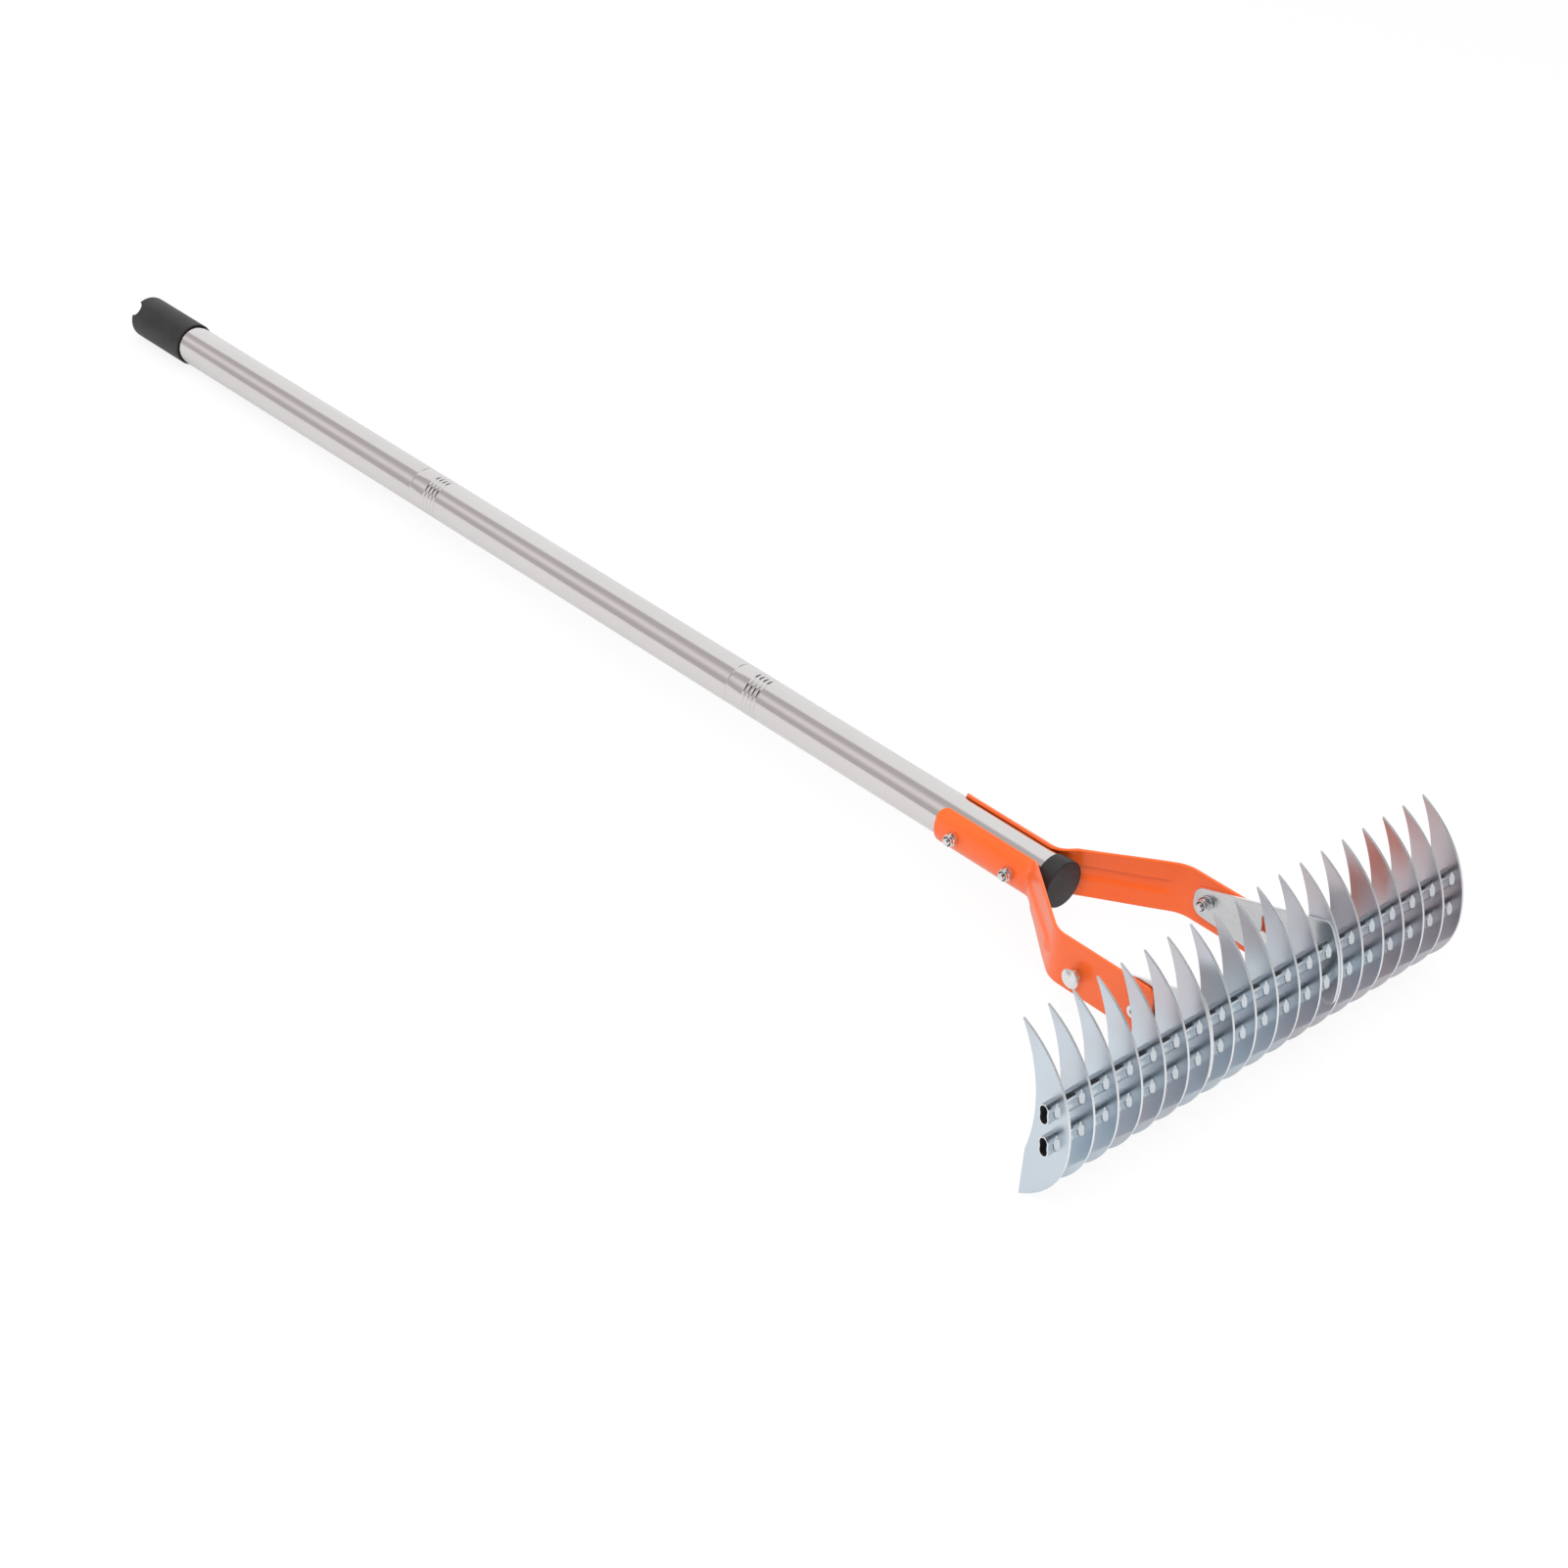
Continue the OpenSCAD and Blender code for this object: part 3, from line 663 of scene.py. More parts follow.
def arm_path(s):
    """(x, y, heading) of the arm's inner face, s from the far end of the clamp shell."""
    if s <= S_BEND_1:
        return SHELL_R, CLAMP_END - s, 0.0
    if s <= S_SLANT:
        a = (s - S_BEND_1) / BEND_1
        y = CLAMP_END - S_BEND_1 - BEND_1 * math.sin(a)
        return SHELL_R + BEND_1 * (1 - math.cos(a)), y, a
    if s <= S_BEND_2:
        x0, y0, _ = arm_path(S_SLANT)
        run = s - S_SLANT
        return x0 + run * math.sin(SPLAY), y0 - run * math.cos(SPLAY), SPLAY
    if s <= S_FLAT:
        a = (S_FLAT - s) / BEND_2
        y = CORNER_2_Y - RUN_2 + BEND_2 * math.sin(a)
        return ARM_X - BEND_2 * (1 - math.cos(a)), y, a
    return ARM_X, CORNER_2_Y - RUN_2 - (s - S_FLAT), 0.0


def smooth_step(t):
    u = min(max(t, 0.0), 1.0)
    return u * u * (3 - 2 * u)


def flatness(s):
    """0 in the round clamp shell, 1 where the sheet has opened flat."""
    quick = smooth_step((s - FAN_START) / (FAN_END - FAN_START))
    slow = smooth_step((s - S_SLANT) / (S_BEND_2 - S_SLANT))
    return FAN_SHARE * quick + (1 - FAN_SHARE) * slow


def channel(s, v):
    """How far the stiffening channel along the slanted part is pressed outward."""
    start = smooth_step((s - CHANNEL_START) / CHANNEL_START_RUN)
    end = smooth_step((CHANNEL_END - s) / CHANNEL_END_RUN)
    low = smooth_step((v - CHANNEL_LOW) / CHANNEL_LOW_RUN)
    high = smooth_step((CHANNEL_HIGH - v) / CHANNEL_HIGH_RUN)
    return CHANNEL_DEPTH * start * end * low * high


def corner_inset(d):
    """How far the sheet's sides draw in at distance d from a rounded end."""
    if d >= ARM_ROUND:
        return 0.0
    return ARM_ROUND - math.sqrt(ARM_ROUND ** 2 - (ARM_ROUND - d) ** 2)


def arm_point(s, v, sheet):
    """A point s along the arm, v of the way up it and sheet deep into its thickness."""
    x, y, heading = arm_path(s)
    depth = sheet + channel(s, v)
    curl = 1 - flatness(s)
    inset = corner_inset(s) + corner_inset(ARM_LEN - s)
    inset_a = math.degrees(inset / SHELL_R)
    a = math.radians(-CLAMP_LOW + inset_a + v * (CLAMP_TOP + CLAMP_LOW - 2 * inset_a))
    z_flat = -FLAT_LOW + inset + v * (FLAT_TOP + FLAT_LOW - 2 * inset)
    r = SHELL_R + depth
    off = depth - curl * r * (1 - math.cos(a))
    z = curl * r * math.sin(a) + (1 - curl) * z_flat
    return (x + off * math.cos(heading), y + off * math.sin(heading), z)


def arm_section():
    """(v, depth) round the sheet's section, with rounded edges."""
    width, steps = 34.0, 72
    edge_v = ARM_EDGE / width
    span = [edge_v + (1 - 2 * edge_v) * j / steps for j in range(steps + 1)]
    turns = [math.radians(a) for a in (30, 60, 90)]
    corner = [(edge_v * math.sin(t), ARM_EDGE * (1 - math.cos(t))) for t in turns]
    loop = [(v, 0.0) for v in span]
    loop += [(1 - edge_v + v, d) for v, d in corner]
    loop += [(1 - edge_v + v, ARM_T - d) for v, d in reversed(corner)]
    loop += [(v, ARM_T) for v in reversed(span)]
    loop += [(edge_v - v, ARM_T - d) for v, d in corner]
    loop += [(edge_v - v, d) for v, d in reversed(corner)]
    return loop


def arm_stations():
    steps = 150
    ends = [ARM_ROUND * (1 - math.cos(math.radians(a))) for a in range(0, 91, 9)]
    mid = [ARM_ROUND + (ARM_LEN - 2 * ARM_ROUND) * i / steps for i in range(1, steps)]
    return ends + mid + [ARM_LEN - d for d in reversed(ends)]


def arm(name, node, sign):
    """The sheet as it is on the right, or turned half round the handle for sign -1."""
    section = arm_section()
    loops = []
    for s in arm_stations():
        loop = [arm_point(s, v, d) for v, d in section]
        loops.append([(sign * x, y, sign * z) for x, y, z in loop])
    shape = Shape().loft(loops)
    piece(name, shape, [PAINT], "handle", [node], smooth=50, bevel=0.5)


arm("arm_right", "right_arm", 1)
arm("arm_left", "left_arm", -1)


# Fasteners
def round_head(shape, at):
    """Mushroom head from its flat underside at 0."""
    rim, chamfer, steps = 0.7, 0.3, 14
    crown = (HEAD_R ** 2 + (HEAD_H - rim) ** 2) / (2 * (HEAD_H - rim))
    spread = math.degrees(math.asin(HEAD_R / crown))
    profile = [(0, 0), (0, HEAD_R - chamfer), (chamfer, HEAD_R)]
    for i in range(steps):
        a = math.radians(spread * (1 - i / steps))
        profile.append((HEAD_H - crown + crown * math.cos(a), crown * math.sin(a)))
    profile.append((HEAD_H, 0))
    shape.lathe(profile, at, HEAD_SEG)


def threaded_end(shape, at, plain, length):
    """Shank with a chamfered, threaded end at the far side."""
    pitch, chamfer = 0.8, 0.5
    root_start, root_end = 0.5 * pitch, 0.62 * pitch
    root_r = BOLT_R - 0.35
    profile = [(0, 0), (0, BOLT_R), (plain, BOLT_R)]
    a = plain
    while a + pitch < length - chamfer:
        profile += [(a + root_start, root_r), (a + root_end, root_r), (a + pitch, BOLT_R)]
        a += pitch
    profile += [(length - chamfer, BOLT_R), (length, BOLT_R - chamfer), (length, 0)]
    shape.lathe(profile, at, BOLT_SEG)


def lock_nut(shape, at):
    """Hexagon with chamfered corners under a round locking collar with a black ring."""
    apothem = NUT_AF / 2
    corner = apothem / math.cos(math.pi / 6)
    base_r, base_h = apothem * 0.97, 0.6
    top_r, top_h = apothem * 0.95, 0.7
    collar_r, collar_round = apothem * 0.93, 0.5
    lip = apothem * 0.8
    steps = 4
    levels = []
    for i in range(steps + 1):
        levels.append((base_h * i / steps, base_r + (corner - base_r) * i / steps))
    for i in range(steps + 1):
        levels.append((NUT_HEX_H - top_h + top_h * i / steps, corner - (corner - top_r) * i / steps))
    turns = [2 * math.pi * k / NUT_SEG for k in range(NUT_SEG)]
    loops = []
    for h, limit in levels:
        loop = []
        for t in turns:
            flat = (t + math.pi / 6) % (math.pi / 3) - math.pi / 6
            loop.append(at(h, min(limit, apothem / math.cos(flat)), t))
        loops.append(loop)
    collar = rounded([(NUT_HEX_H, collar_r), (NUT_H, collar_r), (NUT_H, lip)],
                     [0, collar_round, 0], closed=False)
    for h, r in collar:
        loops.append([at(h, r, t) for t in turns])
    shape.loft(loops, cap_end=False)
    sunk = NUT_H - 0.4
    ring = [(NUT_H, lip), (sunk + 0.1, lip - 0.1), (sunk, BOLT_R), (sunk, 0)]
    shape.of_kind(1).lathe(ring, at, NUT_SEG).of_kind(0)


def washer_profile():
    bore_round, rim_round = 0.1, 0.25
    corners = [(0, BOLT_R), (0, WASHER_R), (WASHER_T, WASHER_R), (WASHER_T, BOLT_R)]
    return rounded(corners, [bore_round, rim_round, rim_round, bore_round], n=3)


def rivet_profile():
    """From the tail inside the bracket to the hollow head on the arm."""
    tail_out = BRACKET_IN - SIDE_GAP
    tail_in = tail_out - RIVET_TAIL_H
    top = ARM_OUT + RIVET_H
    hollow_end = top - RIVET_HOLLOW_DEPTH
    corners = [(tail_in, 0), (tail_in, RIVET_TAIL_R), (tail_out, RIVET_TAIL_R), (tail_out, BOLT_R),
               (ARM_OUT, BOLT_R), (ARM_OUT, RIVET_R), (top, RIVET_CROWN_R), (top, RIVET_HOLLOW_R),
               (hollow_end, RIVET_HOLLOW_END_R), (hollow_end, 0)]
    return rounded(corners, [0, 0.5, 0.3, 0, 0, 0.4, 1.0, 0.5, 0, 0], n=5, closed=False)


def fastener(name, node, shape):
    piece(name, shape, [BOLT_ZINC, BLACK], "handle", [node])


def clamp_fasteners():
    bolts, nuts = Shape(), Shape()
    plain = 2 * SHELL_OUT
    for y in CLAMP_BOLTS:
        round_head(bolts, along_x(SHELL_OUT, 1, y))
        threaded_end(bolts, along_x(SHELL_OUT, -1, y), plain, plain + NUT_H + BOLT_PAST)
        lock_nut(nuts, along_x(-SHELL_OUT, -1, y))
    fastener("bolts_clamp", "clamp_bolts", bolts)
    fastener("nuts_clamp", "clamp_nuts", nuts)


def pivot_fasteners():
    bolts, nuts, washers, rivets = Shape(), Shape(), Shape(), Shape()
    plain = ARM_OUT - NUT_SEAT
    neck = [(0, BOLT_R), (COLLAR_LEN + 0.1, BOLT_R)]
    for sign in (1, -1):
        outward = along_x(sign * ARM_OUT, sign, PIVOT_Y)
        inward = along_x(sign * ARM_OUT, -sign, PIVOT_Y)
        round_head(bolts, along_x(sign * (ARM_OUT + COLLAR_LEN), sign, PIVOT_Y))
        lock_nut(bolts, outward)
        bolts.lathe(neck, outward, BOLT_SEG)
        threaded_end(bolts, inward, plain, plain + NUT_H + BOLT_PAST)
        lock_nut(nuts, along_x(sign * NUT_SEAT, -sign, PIVOT_Y))
        washers.lathe(washer_profile(), along_x(sign * NUT_SEAT, sign, PIVOT_Y), HEAD_SEG, closed=True)
        rivets.lathe(rivet_profile(), along_x(0, sign, STOP_Y), HEAD_SEG)
    fastener("bolts_pivot", "pivot_bolts", bolts)
    fastener("washers_pivot", "pivot_washers", washers)
    fastener("nuts_pivot", "pivot_nuts", nuts)
    fastener("rivets_stop", "stop_rivets", rivets)


clamp_fasteners()
pivot_fasteners()


# Head
def plate(outer, holes, x0, thick, edge):
    """A flat plate with rounded edges of kind 1, from outlines of (y, z) points."""
    curve = bpy.data.curves.new("plate", "CURVE")
    curve.dimensions = "2D"
    curve.fill_mode = "BOTH"
    curve.extrude = thick / 2 - edge
    curve.bevel_depth = edge
    curve.bevel_resolution = 2
    curve.offset = -edge
    for loop in [outer] + holes:
        spline = curve.splines.new("POLY")
        spline.points.add(len(loop) - 1)
        for point, p in zip(spline.points, loop):
            point.co = (p[0], p[1], 0, 1)
        spline.use_cyclic_u = True
    obj = linked("plate", curve)
    dg = bpy.context.evaluated_depsgraph_get()
    mesh = bpy.data.meshes.new_from_object(obj.evaluated_get(dg))
    shape = Shape().add([(x0 + thick / 2 + v.co.z, v.co.x, v.co.y) for v in mesh.vertices],
                        [tuple(p.vertices) for p in mesh.polygons])
    facing = 0.9
    shape.kinds = [int(abs(p.normal.z) < facing) for p in mesh.polygons]
    bpy.data.objects.remove(obj)
    bpy.data.curves.remove(curve)
    bpy.data.meshes.remove(mesh)
    return shape


def bracket_outline():
    """A plate that narrows to the pivot; its front edge follows the blades' front arc."""
    back = PIVOT_Y + BRACKET_EYE
    front_c = BELLY + Vector((FRONT_R, 0))
    r = FRONT_R - BRACKET_INSET
    top_a = 180 - math.degrees(math.asin((UPPER_BAR.y + BRACKET_RISE - BELLY.y) / r))
    low_a = 180 + math.degrees(math.asin((BELLY.y + BRACKET_DROP - LOWER_BAR.y) / r))
    steps = 10
    front = arc(front_c, r, top_a, low_a, steps)
    corners = [(back, -BRACKET_LOW), (back, BRACKET_TOP)] + front
    radii = [BRACKET_EYE_ROUND, BRACKET_EYE_ROUND, BRACKET_ROUND] + [0] * (steps - 1) + [BRACKET_ROUND]
    return rounded(corners, radii, n=14)


def slot_outline():
    """A slot round the pivot, as long as the swing."""
    pivot = Vector((PIVOT_Y, 0))
    side_steps, end_steps = 8, 16
    high = 180 - SWING
    low_end = pivot - Vector((STOP_REACH, 0))
    high_end = arc(pivot, STOP_REACH, high, high, 1)[0]
    return (arc(pivot, STOP_REACH + SLOT_R, high, 180, side_steps)[1:-1]
            + arc(low_end, SLOT_R, 180, 360, end_steps)
            + arc(pivot, STOP_REACH - SLOT_R, 180, high, side_steps)[1:-1]
            + arc(high_end, SLOT_R, high + 180, high + 360, end_steps))


for side, sign in (("right", 1), ("left", -1)):
    start = BRACKET_IN if sign > 0 else -BRACKET_OUT
    bracket = plate(bracket_outline(), [slot_outline()], start, BRACKET_T, BRACKET_EDGE)
    # The plate's rounded edges take the edge material with its painted highlight
    piece("plate_" + side, bracket, [PLATE_ZINC, EDGE_HIGHLIGHT_ZINC], "head", [side + "_bracket"])


# Crossbars: flattened, waisted tubes with a leaf-shaped ear pinched out beside each blade
SIDE_HALF_H = 2.9
BAR_WAIST = 0.3
EAR_REACH = 2.8
EAR_SLOPE = 0.8
EAR_HALF_H = 5.8
CREASE_W = 0.8
# Width of the crease strip that carries painted shade
CREASE_PAINTED_SHADE = 0.5
CREASE_DEPTH = 0.3
CREASE_TOP = 1.0
BAR_RIM = 0.25
BAR_BORE_DEPTH = 45.0
NO_EAR = 99.0


def ear_faces():
    """(x, side) of each face that an ear stands against: a blade, or the bracket on a blade."""
    out = []
    for b in BLADE_X:
        for side in (-1, 1):
            face = b + side * BLADE_T / 2
            if math.isclose(abs(face), BRACKET_OUT):
                face = math.copysign(BRACKET_IN, face)
            out.append((face, side))
    return out


EAR_FACES = ear_faces()


def bar_profile(grow=0.0):
    """(half width, height) up one side of the section: bottom, waisted side, top."""
    half_w, half_h = BAR_W / 2 + grow, BAR_H / 2 + grow
    cap = half_h - SIDE_HALF_H
    low = []
    for a in range(-90, 1, 6):
        t = math.radians(a)
        low.append((half_w * math.cos(t), -SIDE_HALF_H + cap * math.sin(t)))
    side = []
    steps = 16
    for i in range(1, steps):
        u = 2 * i / steps - 1
        side.append((half_w - BAR_WAIST * math.cos(u * math.pi / 2) ** 2, SIDE_HALF_H * u))
    return low + side + [(w, -h) for w, h in reversed(low)]


def ear(h, d):
    """How far an ear stands out at height h, d away from the face; it ends in a narrow crease."""
    if abs(h) >= EAR_HALF_H:
        return 0.0
    shape = 1 - (h / EAR_HALF_H) ** 2
    past = d - EAR_REACH * shape
    if past <= 0:
        return -EAR_SLOPE * past
    if past >= CREASE_W:
        return 0.0
    return -CREASE_DEPTH * shape * math.sin(math.pi * past / CREASE_W)


def ear_distance(x):
    """Distance from x to the nearest face that has an ear on this side."""
    best = NO_EAR
    for face, side in EAR_FACES:
        d = side * (x - face)
        if d >= -BLADE_T / 2:
            best = min(best, max(d, 0.0))
    return best


def bar_stations():
    """Places along a bar: its ends, and close steps over each ear."""
    out = {-BAR_HALF, BAR_HALF}
    steps = 16
    for face, side in EAR_FACES:
        out.add(round(face - side * BLADE_T / 4, 4))
        for i in range(steps + 1):
            out.add(round(face + side * (EAR_REACH + CREASE_W) * i / steps, 4))
    return sorted(out)


def bar_loop(bar, x, grow, eared):
    d = ear_distance(x) if eared else NO_EAR
    c, s = math.cos(BAR_LEAN), math.sin(BAR_LEAN)
    right, left = [], []
    for w, h in bar_profile(grow):
        w += ear(h, d)
        right.append((x, bar.x + w * c + h * s, bar.y - w * s + h * c))
        left.append((x, bar.x - w * c + h * s, bar.y + w * s + h * c))
    return right + left[::-1][1:-1]


def crease_kinds(loops):
    """1 for the faces of a crease below the middle of an ear, which carry painted shade, else 0."""
    heights = [h for _, h in bar_profile()]
    heights += heights[::-1][1:-1]
    kinds = []
    for near, far in zip(loops, loops[1:]):
        d = ear_distance((near[0][0] + far[0][0]) / 2)
        for k, h in enumerate(heights):
            middle = (h + heights[(k + 1) % len(heights)]) / 2
            past = d - EAR_REACH * (1 - (middle / EAR_HALF_H) ** 2)
            kinds.append(int(0 < past < CREASE_PAINTED_SHADE and -EAR_HALF_H < middle < CREASE_TOP))
    return kinds


def crossbar(name, node, bar):
    """Outside with its creases, a bore at each end, and the rims between them."""
    bore_end = BAR_HALF - BAR_BORE_DEPTH
    stations = [BAR_RIM - BAR_HALF, *bar_stations()[1:-1], BAR_HALF - BAR_RIM]
    first = [bar_loop(bar, x, -BAR_WALL, False) for x in (-bore_end, -BAR_HALF)]
    first.append(bar_loop(bar, -BAR_HALF, -BAR_RIM, False))
    last = [bar_loop(bar, BAR_HALF, -BAR_RIM, False)]
    last += [bar_loop(bar, x, -BAR_WALL, False) for x in (BAR_HALF, bore_end)]
    outside = first[2:] + [bar_loop(bar, x, 0.0, True) for x in stations] + last[:1]
    shape = Shape().loft(outside, cap_start=False, cap_end=False)
    # Crease faces beside the ears take the dark material: painted shade
    shape.kinds = crease_kinds(outside)
    # The bores take the dark material: painted shade inside the tube ends
    shape.of_kind(1).loft(first[:2], cap_end=False).loft(last[1:], cap_start=False)
    # Rims at the bar ends take the edge material with its painted highlight
    shape.of_kind(2).loft(first[1:], False, False).loft(last[:2], False, False)
    piece(name, shape, [BAR_ZINC, PAINTED_SHADE_ZINC, EDGE_HIGHLIGHT_ZINC], "head", [node], smooth=30)


crossbar("bar_upper", "upper_crossbar", UPPER_BAR)
crossbar("bar_lower", "lower_crossbar", LOWER_BAR)


# Blades
def blade_outline():
    """Outline from the tip round the front, the sharpened edge and the back, and the span
    of points that belong to the sharpened edge."""
    front_c = BELLY + Vector((FRONT_R, 0))
    edge_c = BELLY + Vector((EDGE_R, 0))
    chord = TIP - WAIST
    lean = Vector((chord.y, -chord.x)).normalized()
    hollow_c = (TIP + WAIST) / 2 + lean * math.sqrt(HOLLOW_R ** 2 - chord.length_squared / 4)
    heel_a = angle_of(HEEL - edge_c) % 360
    waist_a = angle_of(WAIST - hollow_c) % 360
    tip_a = angle_of(TIP - hollow_c) % 360
    front_steps, blunt_steps, sharp_steps, back_steps = 30, 6, 18, 20
    points = arc(front_c, FRONT_R, angle_of(TIP - front_c), 180, front_steps)
    points += arc(edge_c, EDGE_R, 180, EDGE_START, blunt_steps)[1:]
    first = len(points) - 1
    points += arc(edge_c, EDGE_R, EDGE_START, heel_a, sharp_steps)[1:]
    last = len(points) - 1
    points += arc(hollow_c, HOLLOW_R, waist_a, tip_a, back_steps)[:-1]
    return points, first, last


def blade_shape(x):
    """A flat blade at x; its left face slopes down to the sharpened edge."""
    points, first, last = blade_outline()
    a, b = points[first], points[last]
    along = (b - a).normalized()
    outward = Vector((along.y, -along.x))
    if outward.dot(points[(first + last) // 2] - a) < 0:
        outward = -outward
    deepest = max(outward.dot(p - a) for p in points[first:last + 1])
    n = len(points)
    right = [(x + BLADE_T / 2, p.x, p.y) for p in points]
    left = []
    for i, p in enumerate(points):
        cut = EDGE_CUT * outward.dot(p - a) / deepest if first < i < last else 0.0
        left.append((x - BLADE_T / 2 + cut, p.x, p.y))
    sides = [tuple(range(n))]
    sides.append(tuple(n + i for i in range(n) if not first < i < last))
    sides.append(tuple(n + i for i in range(first, last + 1)))
    edges = [(i, (i + 1) % n, n + (i + 1) % n, n + i) for i in range(n)]
    shape = Shape().add(right + left, sides)
    shape.faces += edges
    # Edge faces take the edge material, whose lighter tone is a painted highlight
    shape.kinds += [1] * n
    return shape


for index, blade_x in enumerate(BLADE_X, 1):
    label = f"{index:02d}"
    piece("tine_" + label, blade_shape(blade_x), [BLADE_ZINC, EDGE_HIGHLIGHT_ZINC], "head", ["blade_" + label],
          smooth=9, bevel=0.18)


# Stage: a pale floor, soft studio light and the photograph's camera
WHITE = (1.0, 1.0, 1.0)
TAUPE = (0.58, 0.55, 0.54)
PALE = (0.90, 0.88, 0.87)
DARK = (0.04, 0.04, 0.045)
ROOM = (0.52, 0.515, 0.51)
# Screens behind the part, by shares of the half turn from the left horizon over the top
SCREENS = [(0.0, TAUPE), (0.12, TAUPE), (0.21, PALE), (0.26, PALE), (0.36, TAUPE), (0.48, TAUPE),
           (0.51, WHITE)]
# Limits are (way, start, full): how far a direction points that way where screens or an opening
# start, and where they are full
BEHIND = [((0, 1, 0), 0.15, 0.35)]
HIGH_IN_FRONT = [((0, -0.95, 1), 0.62, 0.72), ((0, 1, 0), 0.22, 0.12)]
LEFT_OPENING = HIGH_IN_FRONT + [((-1, 0, 0), 0.34, 0.44), ((0, 1, 0), -0.74, -0.64)]
RIGHT_OPENING = HIGH_IN_FRONT + [((1, 0, 0), 0.28, 0.40)]
# The floor off metal and in the picture: how much light it scatters, so that shadows show on it,
# and how much it glows by itself
FLOOR_HALF = 12.0
FLOOR_PLAIN = (0.82, 0.81, 0.80)
FLOOR_SCATTER = (0.45, 0.14)
FLOOR_GLOW = (0.42, 0.86)


def background_rays(tree):
    """Camera rays, and these together with rays off metal and through glass."""
    path = tree.nodes.new("ShaderNodeLightPath").outputs
    shown = path["Is Camera Ray"]
    for kind in ("Is Glossy Ray", "Is Transmission Ray"):
        shown = maths(tree, "MAXIMUM", shown, path[kind])
    return path["Is Camera Ray"], shown


def floor():
    """White in the picture with a faint shadow; off metal the same white with its full shadow."""
    mesh = bpy.data.meshes.new("floor")
    corners = [(x * FLOOR_HALF, y * FLOOR_HALF, 0) for x, y in ((-1, -1), (1, -1), (1, 1), (-1, 1))]
    mesh.from_pydata(corners, [], [(0, 1, 2, 3)])
    obj = linked("floor", mesh)
    mat = bpy.data.materials.new("floor_white")
    mat.use_nodes = True
    tree = mat.node_tree
    tree.nodes.clear()
    in_picture, shown = background_rays(tree)
    out = tree.nodes.new("ShaderNodeOutputMaterial")
    seen = tree.nodes.new("ShaderNodeAddShader")
    faint = tree.nodes.new("ShaderNodeBsdfDiffuse")
    glow = tree.nodes.new("ShaderNodeEmission")
    plain = tree.nodes.new("ShaderNodeBsdfDiffuse")
    mix = tree.nodes.new("ShaderNodeMixShader")
    feed(tree, FLOOR_PLAIN, plain.inputs["Color"])
    feed(tree, map_range(tree, in_picture, 0.0, 1.0, *FLOOR_SCATTER), faint.inputs["Color"])
    feed(tree, map_range(tree, in_picture, 0.0, 1.0, *FLOOR_GLOW), glow.inputs["Strength"])
    feed(tree, faint.outputs[0], seen.inputs[0])
    feed(tree, glow.outputs[0], seen.inputs[1])
    feed(tree, shown, mix.inputs["Fac"])
    feed(tree, plain.outputs[0], mix.inputs[1])
    feed(tree, seen.outputs[0], mix.inputs[2])
    feed(tree, mix.outputs[0], out.inputs["Surface"])
    mesh.materials.append(mat)


def within(tree, coords, limits):
    """1 for directions past all the limits, 0 for those before one of them."""
    inside = 1.0
    for way, start, full in limits:
        dot = tree.nodes.new("ShaderNodeVectorMath")
        dot.operation = "DOT_PRODUCT"
        dot.inputs[1].default_value = way
        feed(tree, coords, dot.inputs[0])
        inside = map_range(tree, dot.outputs["Value"], start, full, 0.0, inside)
    return inside


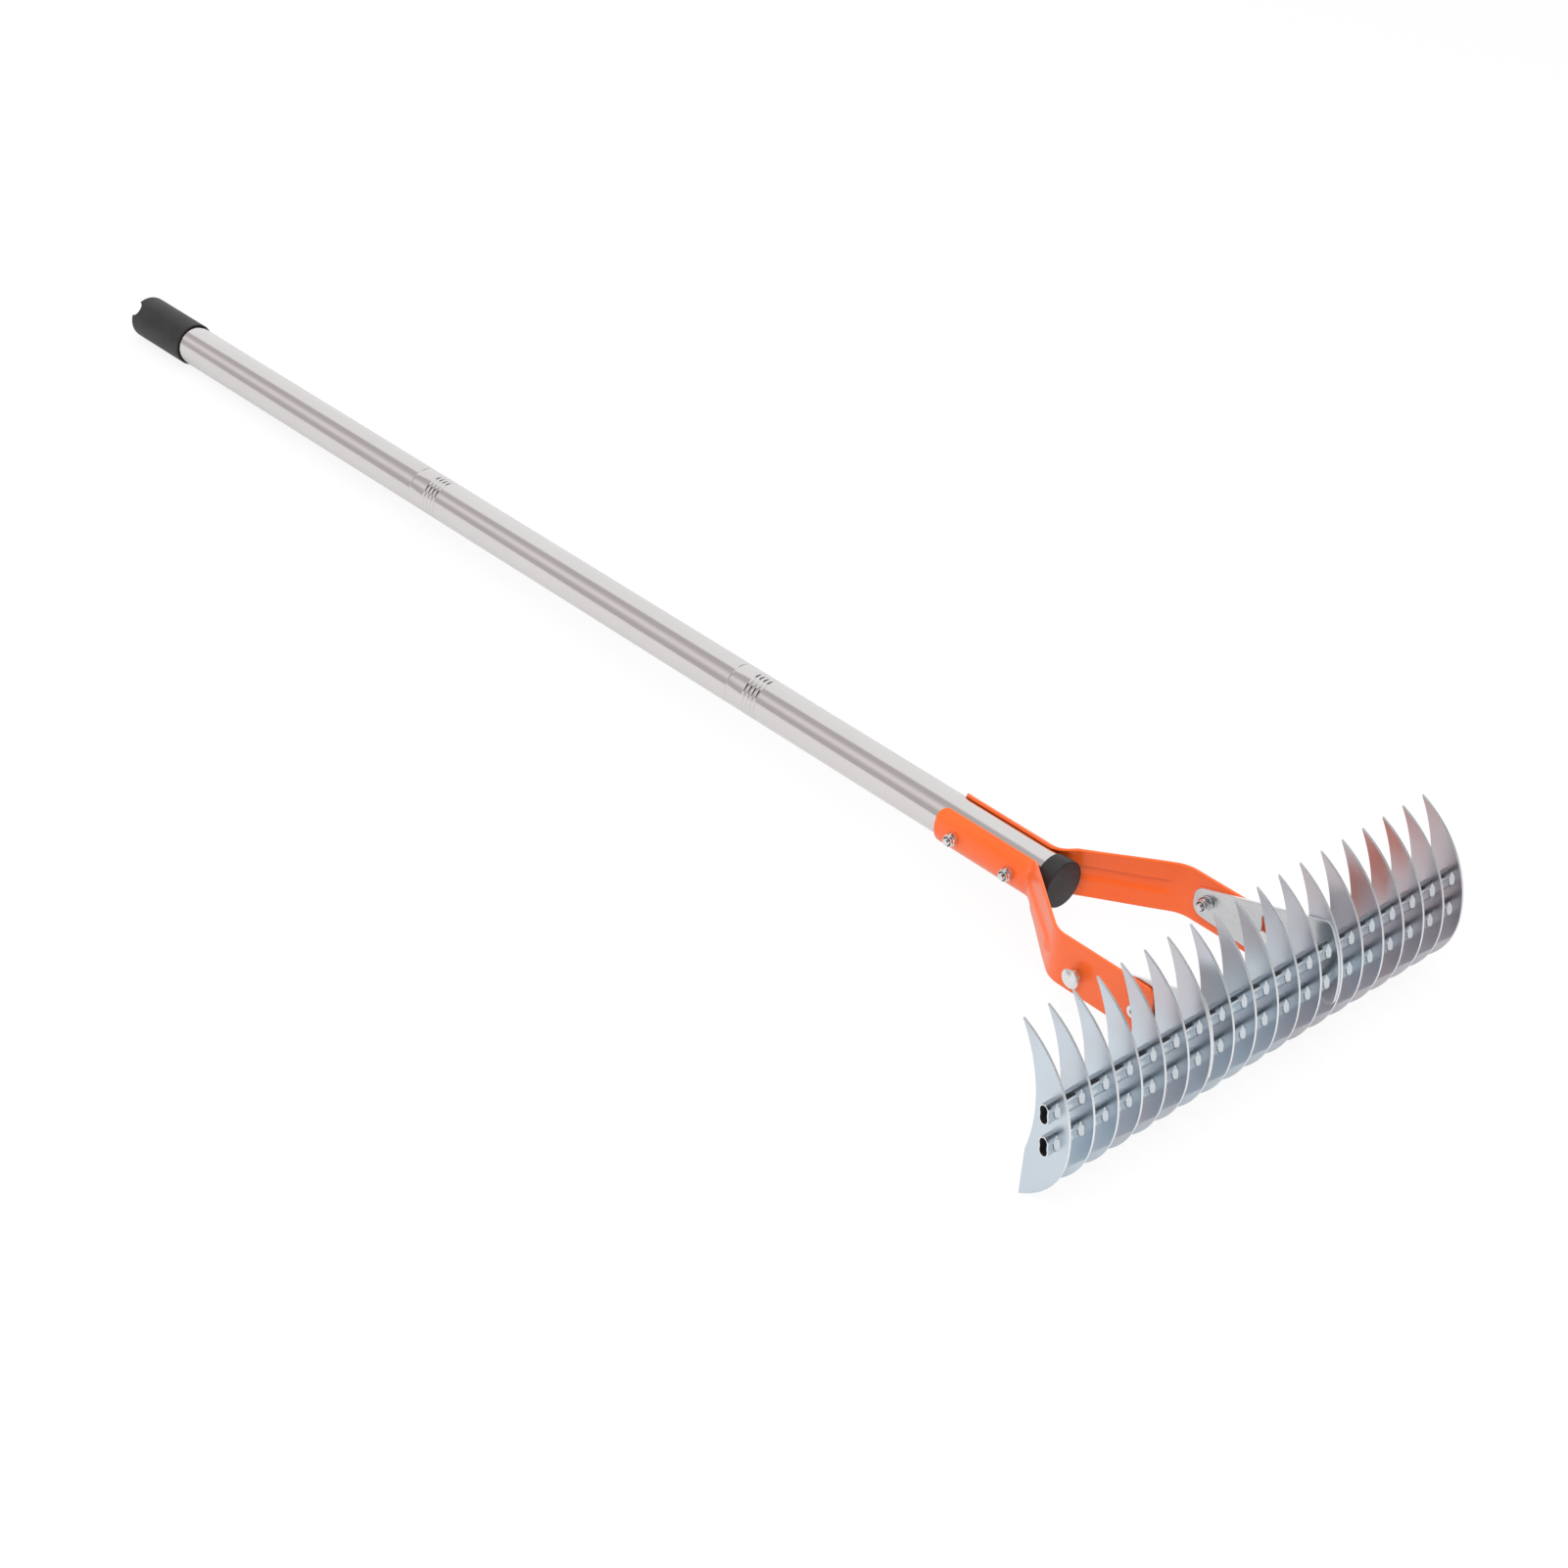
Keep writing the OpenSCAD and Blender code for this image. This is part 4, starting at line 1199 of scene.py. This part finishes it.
def world():
    """A white tent with grey screens, dark openings, and plain light for surfaces that scatter it."""
    scene_world = bpy.data.worlds.new("studio")
    bpy.context.scene.world = scene_world
    scene_world.use_nodes = True
    tree = scene_world.node_tree
    tree.nodes.clear()
    in_picture, shown = background_rays(tree)
    coords = tree.nodes.new("ShaderNodeTexCoord").outputs["Generated"]
    way = split_xyz(tree, coords)
    left = maths(tree, "MULTIPLY", way["X"], -1.0)
    half_turns = maths(tree, "DIVIDE", maths(tree, "ARCTAN2", way["Z"], left), math.pi)
    screens = ramp(tree, half_turns, SCREENS)
    tent_colour = mixed(tree, within(tree, coords, BEHIND), WHITE, screens)
    for opening in (LEFT_OPENING, RIGHT_OPENING):
        tent_colour = mixed(tree, within(tree, coords, opening), tent_colour, DARK)
    out = tree.nodes.new("ShaderNodeOutputWorld")
    tent = tree.nodes.new("ShaderNodeBackground")
    room = tree.nodes.new("ShaderNodeBackground")
    mix = tree.nodes.new("ShaderNodeMixShader")
    feed(tree, mixed(tree, in_picture, tent_colour, WHITE), tent.inputs["Color"])
    feed(tree, ROOM, room.inputs["Color"])
    feed(tree, shown, mix.inputs["Fac"])
    feed(tree, room.outputs[0], mix.inputs[1])
    feed(tree, tent.outputs[0], mix.inputs[2])
    feed(tree, mix.outputs[0], out.inputs["Surface"])


def softbox(name, place, aim, size, energy, colour):
    light = bpy.data.lights.new(name, "AREA")
    light.shape = "RECTANGLE"
    light.size, light.size_y = size
    light.energy = energy
    light.color = colour
    obj = linked(name, light)
    obj.location = place
    obj.rotation_mode = "QUATERNION"
    obj.rotation_quaternion = (Vector(aim) - Vector(place)).to_track_quat("-Z", "Y")
    obj.visible_glossy = False


# Camera solved from the photograph, in the handle's own axes
CAM_RIGHT = Vector((0.72463286, -0.68545982, 0.07107784))
CAM_DOWN = Vector((-0.33424658, -0.43978598, -0.83358714))
CAM_AHEAD = Vector((0.60264953, 0.5802871, -0.54779597))
CAM_PLACE = Vector((-1340.2, -1031.7, 1160.5))
FOCAL_PX = 3215.8
IMAGE_PX = 1601
SENSOR = 36.0


def camera():
    data = bpy.data.cameras.new("camera")
    data.sensor_width = SENSOR
    data.lens = FOCAL_PX * SENSOR / IMAGE_PX
    data.clip_start = 0.05
    data.clip_end = 60.0
    obj = linked("camera", data)
    turn = Matrix((CAM_RIGHT, -CAM_DOWN, -CAM_AHEAD)).transposed().to_4x4()
    tip = Matrix.Rotation(-TILT, 4, "X")
    obj.matrix_world = Matrix.Translation(TO_ROW @ CAM_PLACE) @ tip @ turn
    bpy.context.scene.camera = obj


floor()
world()
softbox("key", place=(-1.6, -1.2, 2.4), aim=(0, -0.3, 0), size=(2.2, 1.6), energy=50,
        colour=(1.0, 0.985, 0.96))
softbox("fill", place=(1.8, -1.4, 1.8), aim=(0, -0.3, 0), size=(1.8, 1.4), energy=9,
        colour=(0.97, 0.98, 1.0))
softbox("top", place=(0.2, 0.6, 2.6), aim=(0, 0.1, 0), size=(2.6, 2.0), energy=30,
        colour=(0.98, 0.98, 1.0))
camera()
bpy.context.scene.view_settings.view_transform = "Standard"
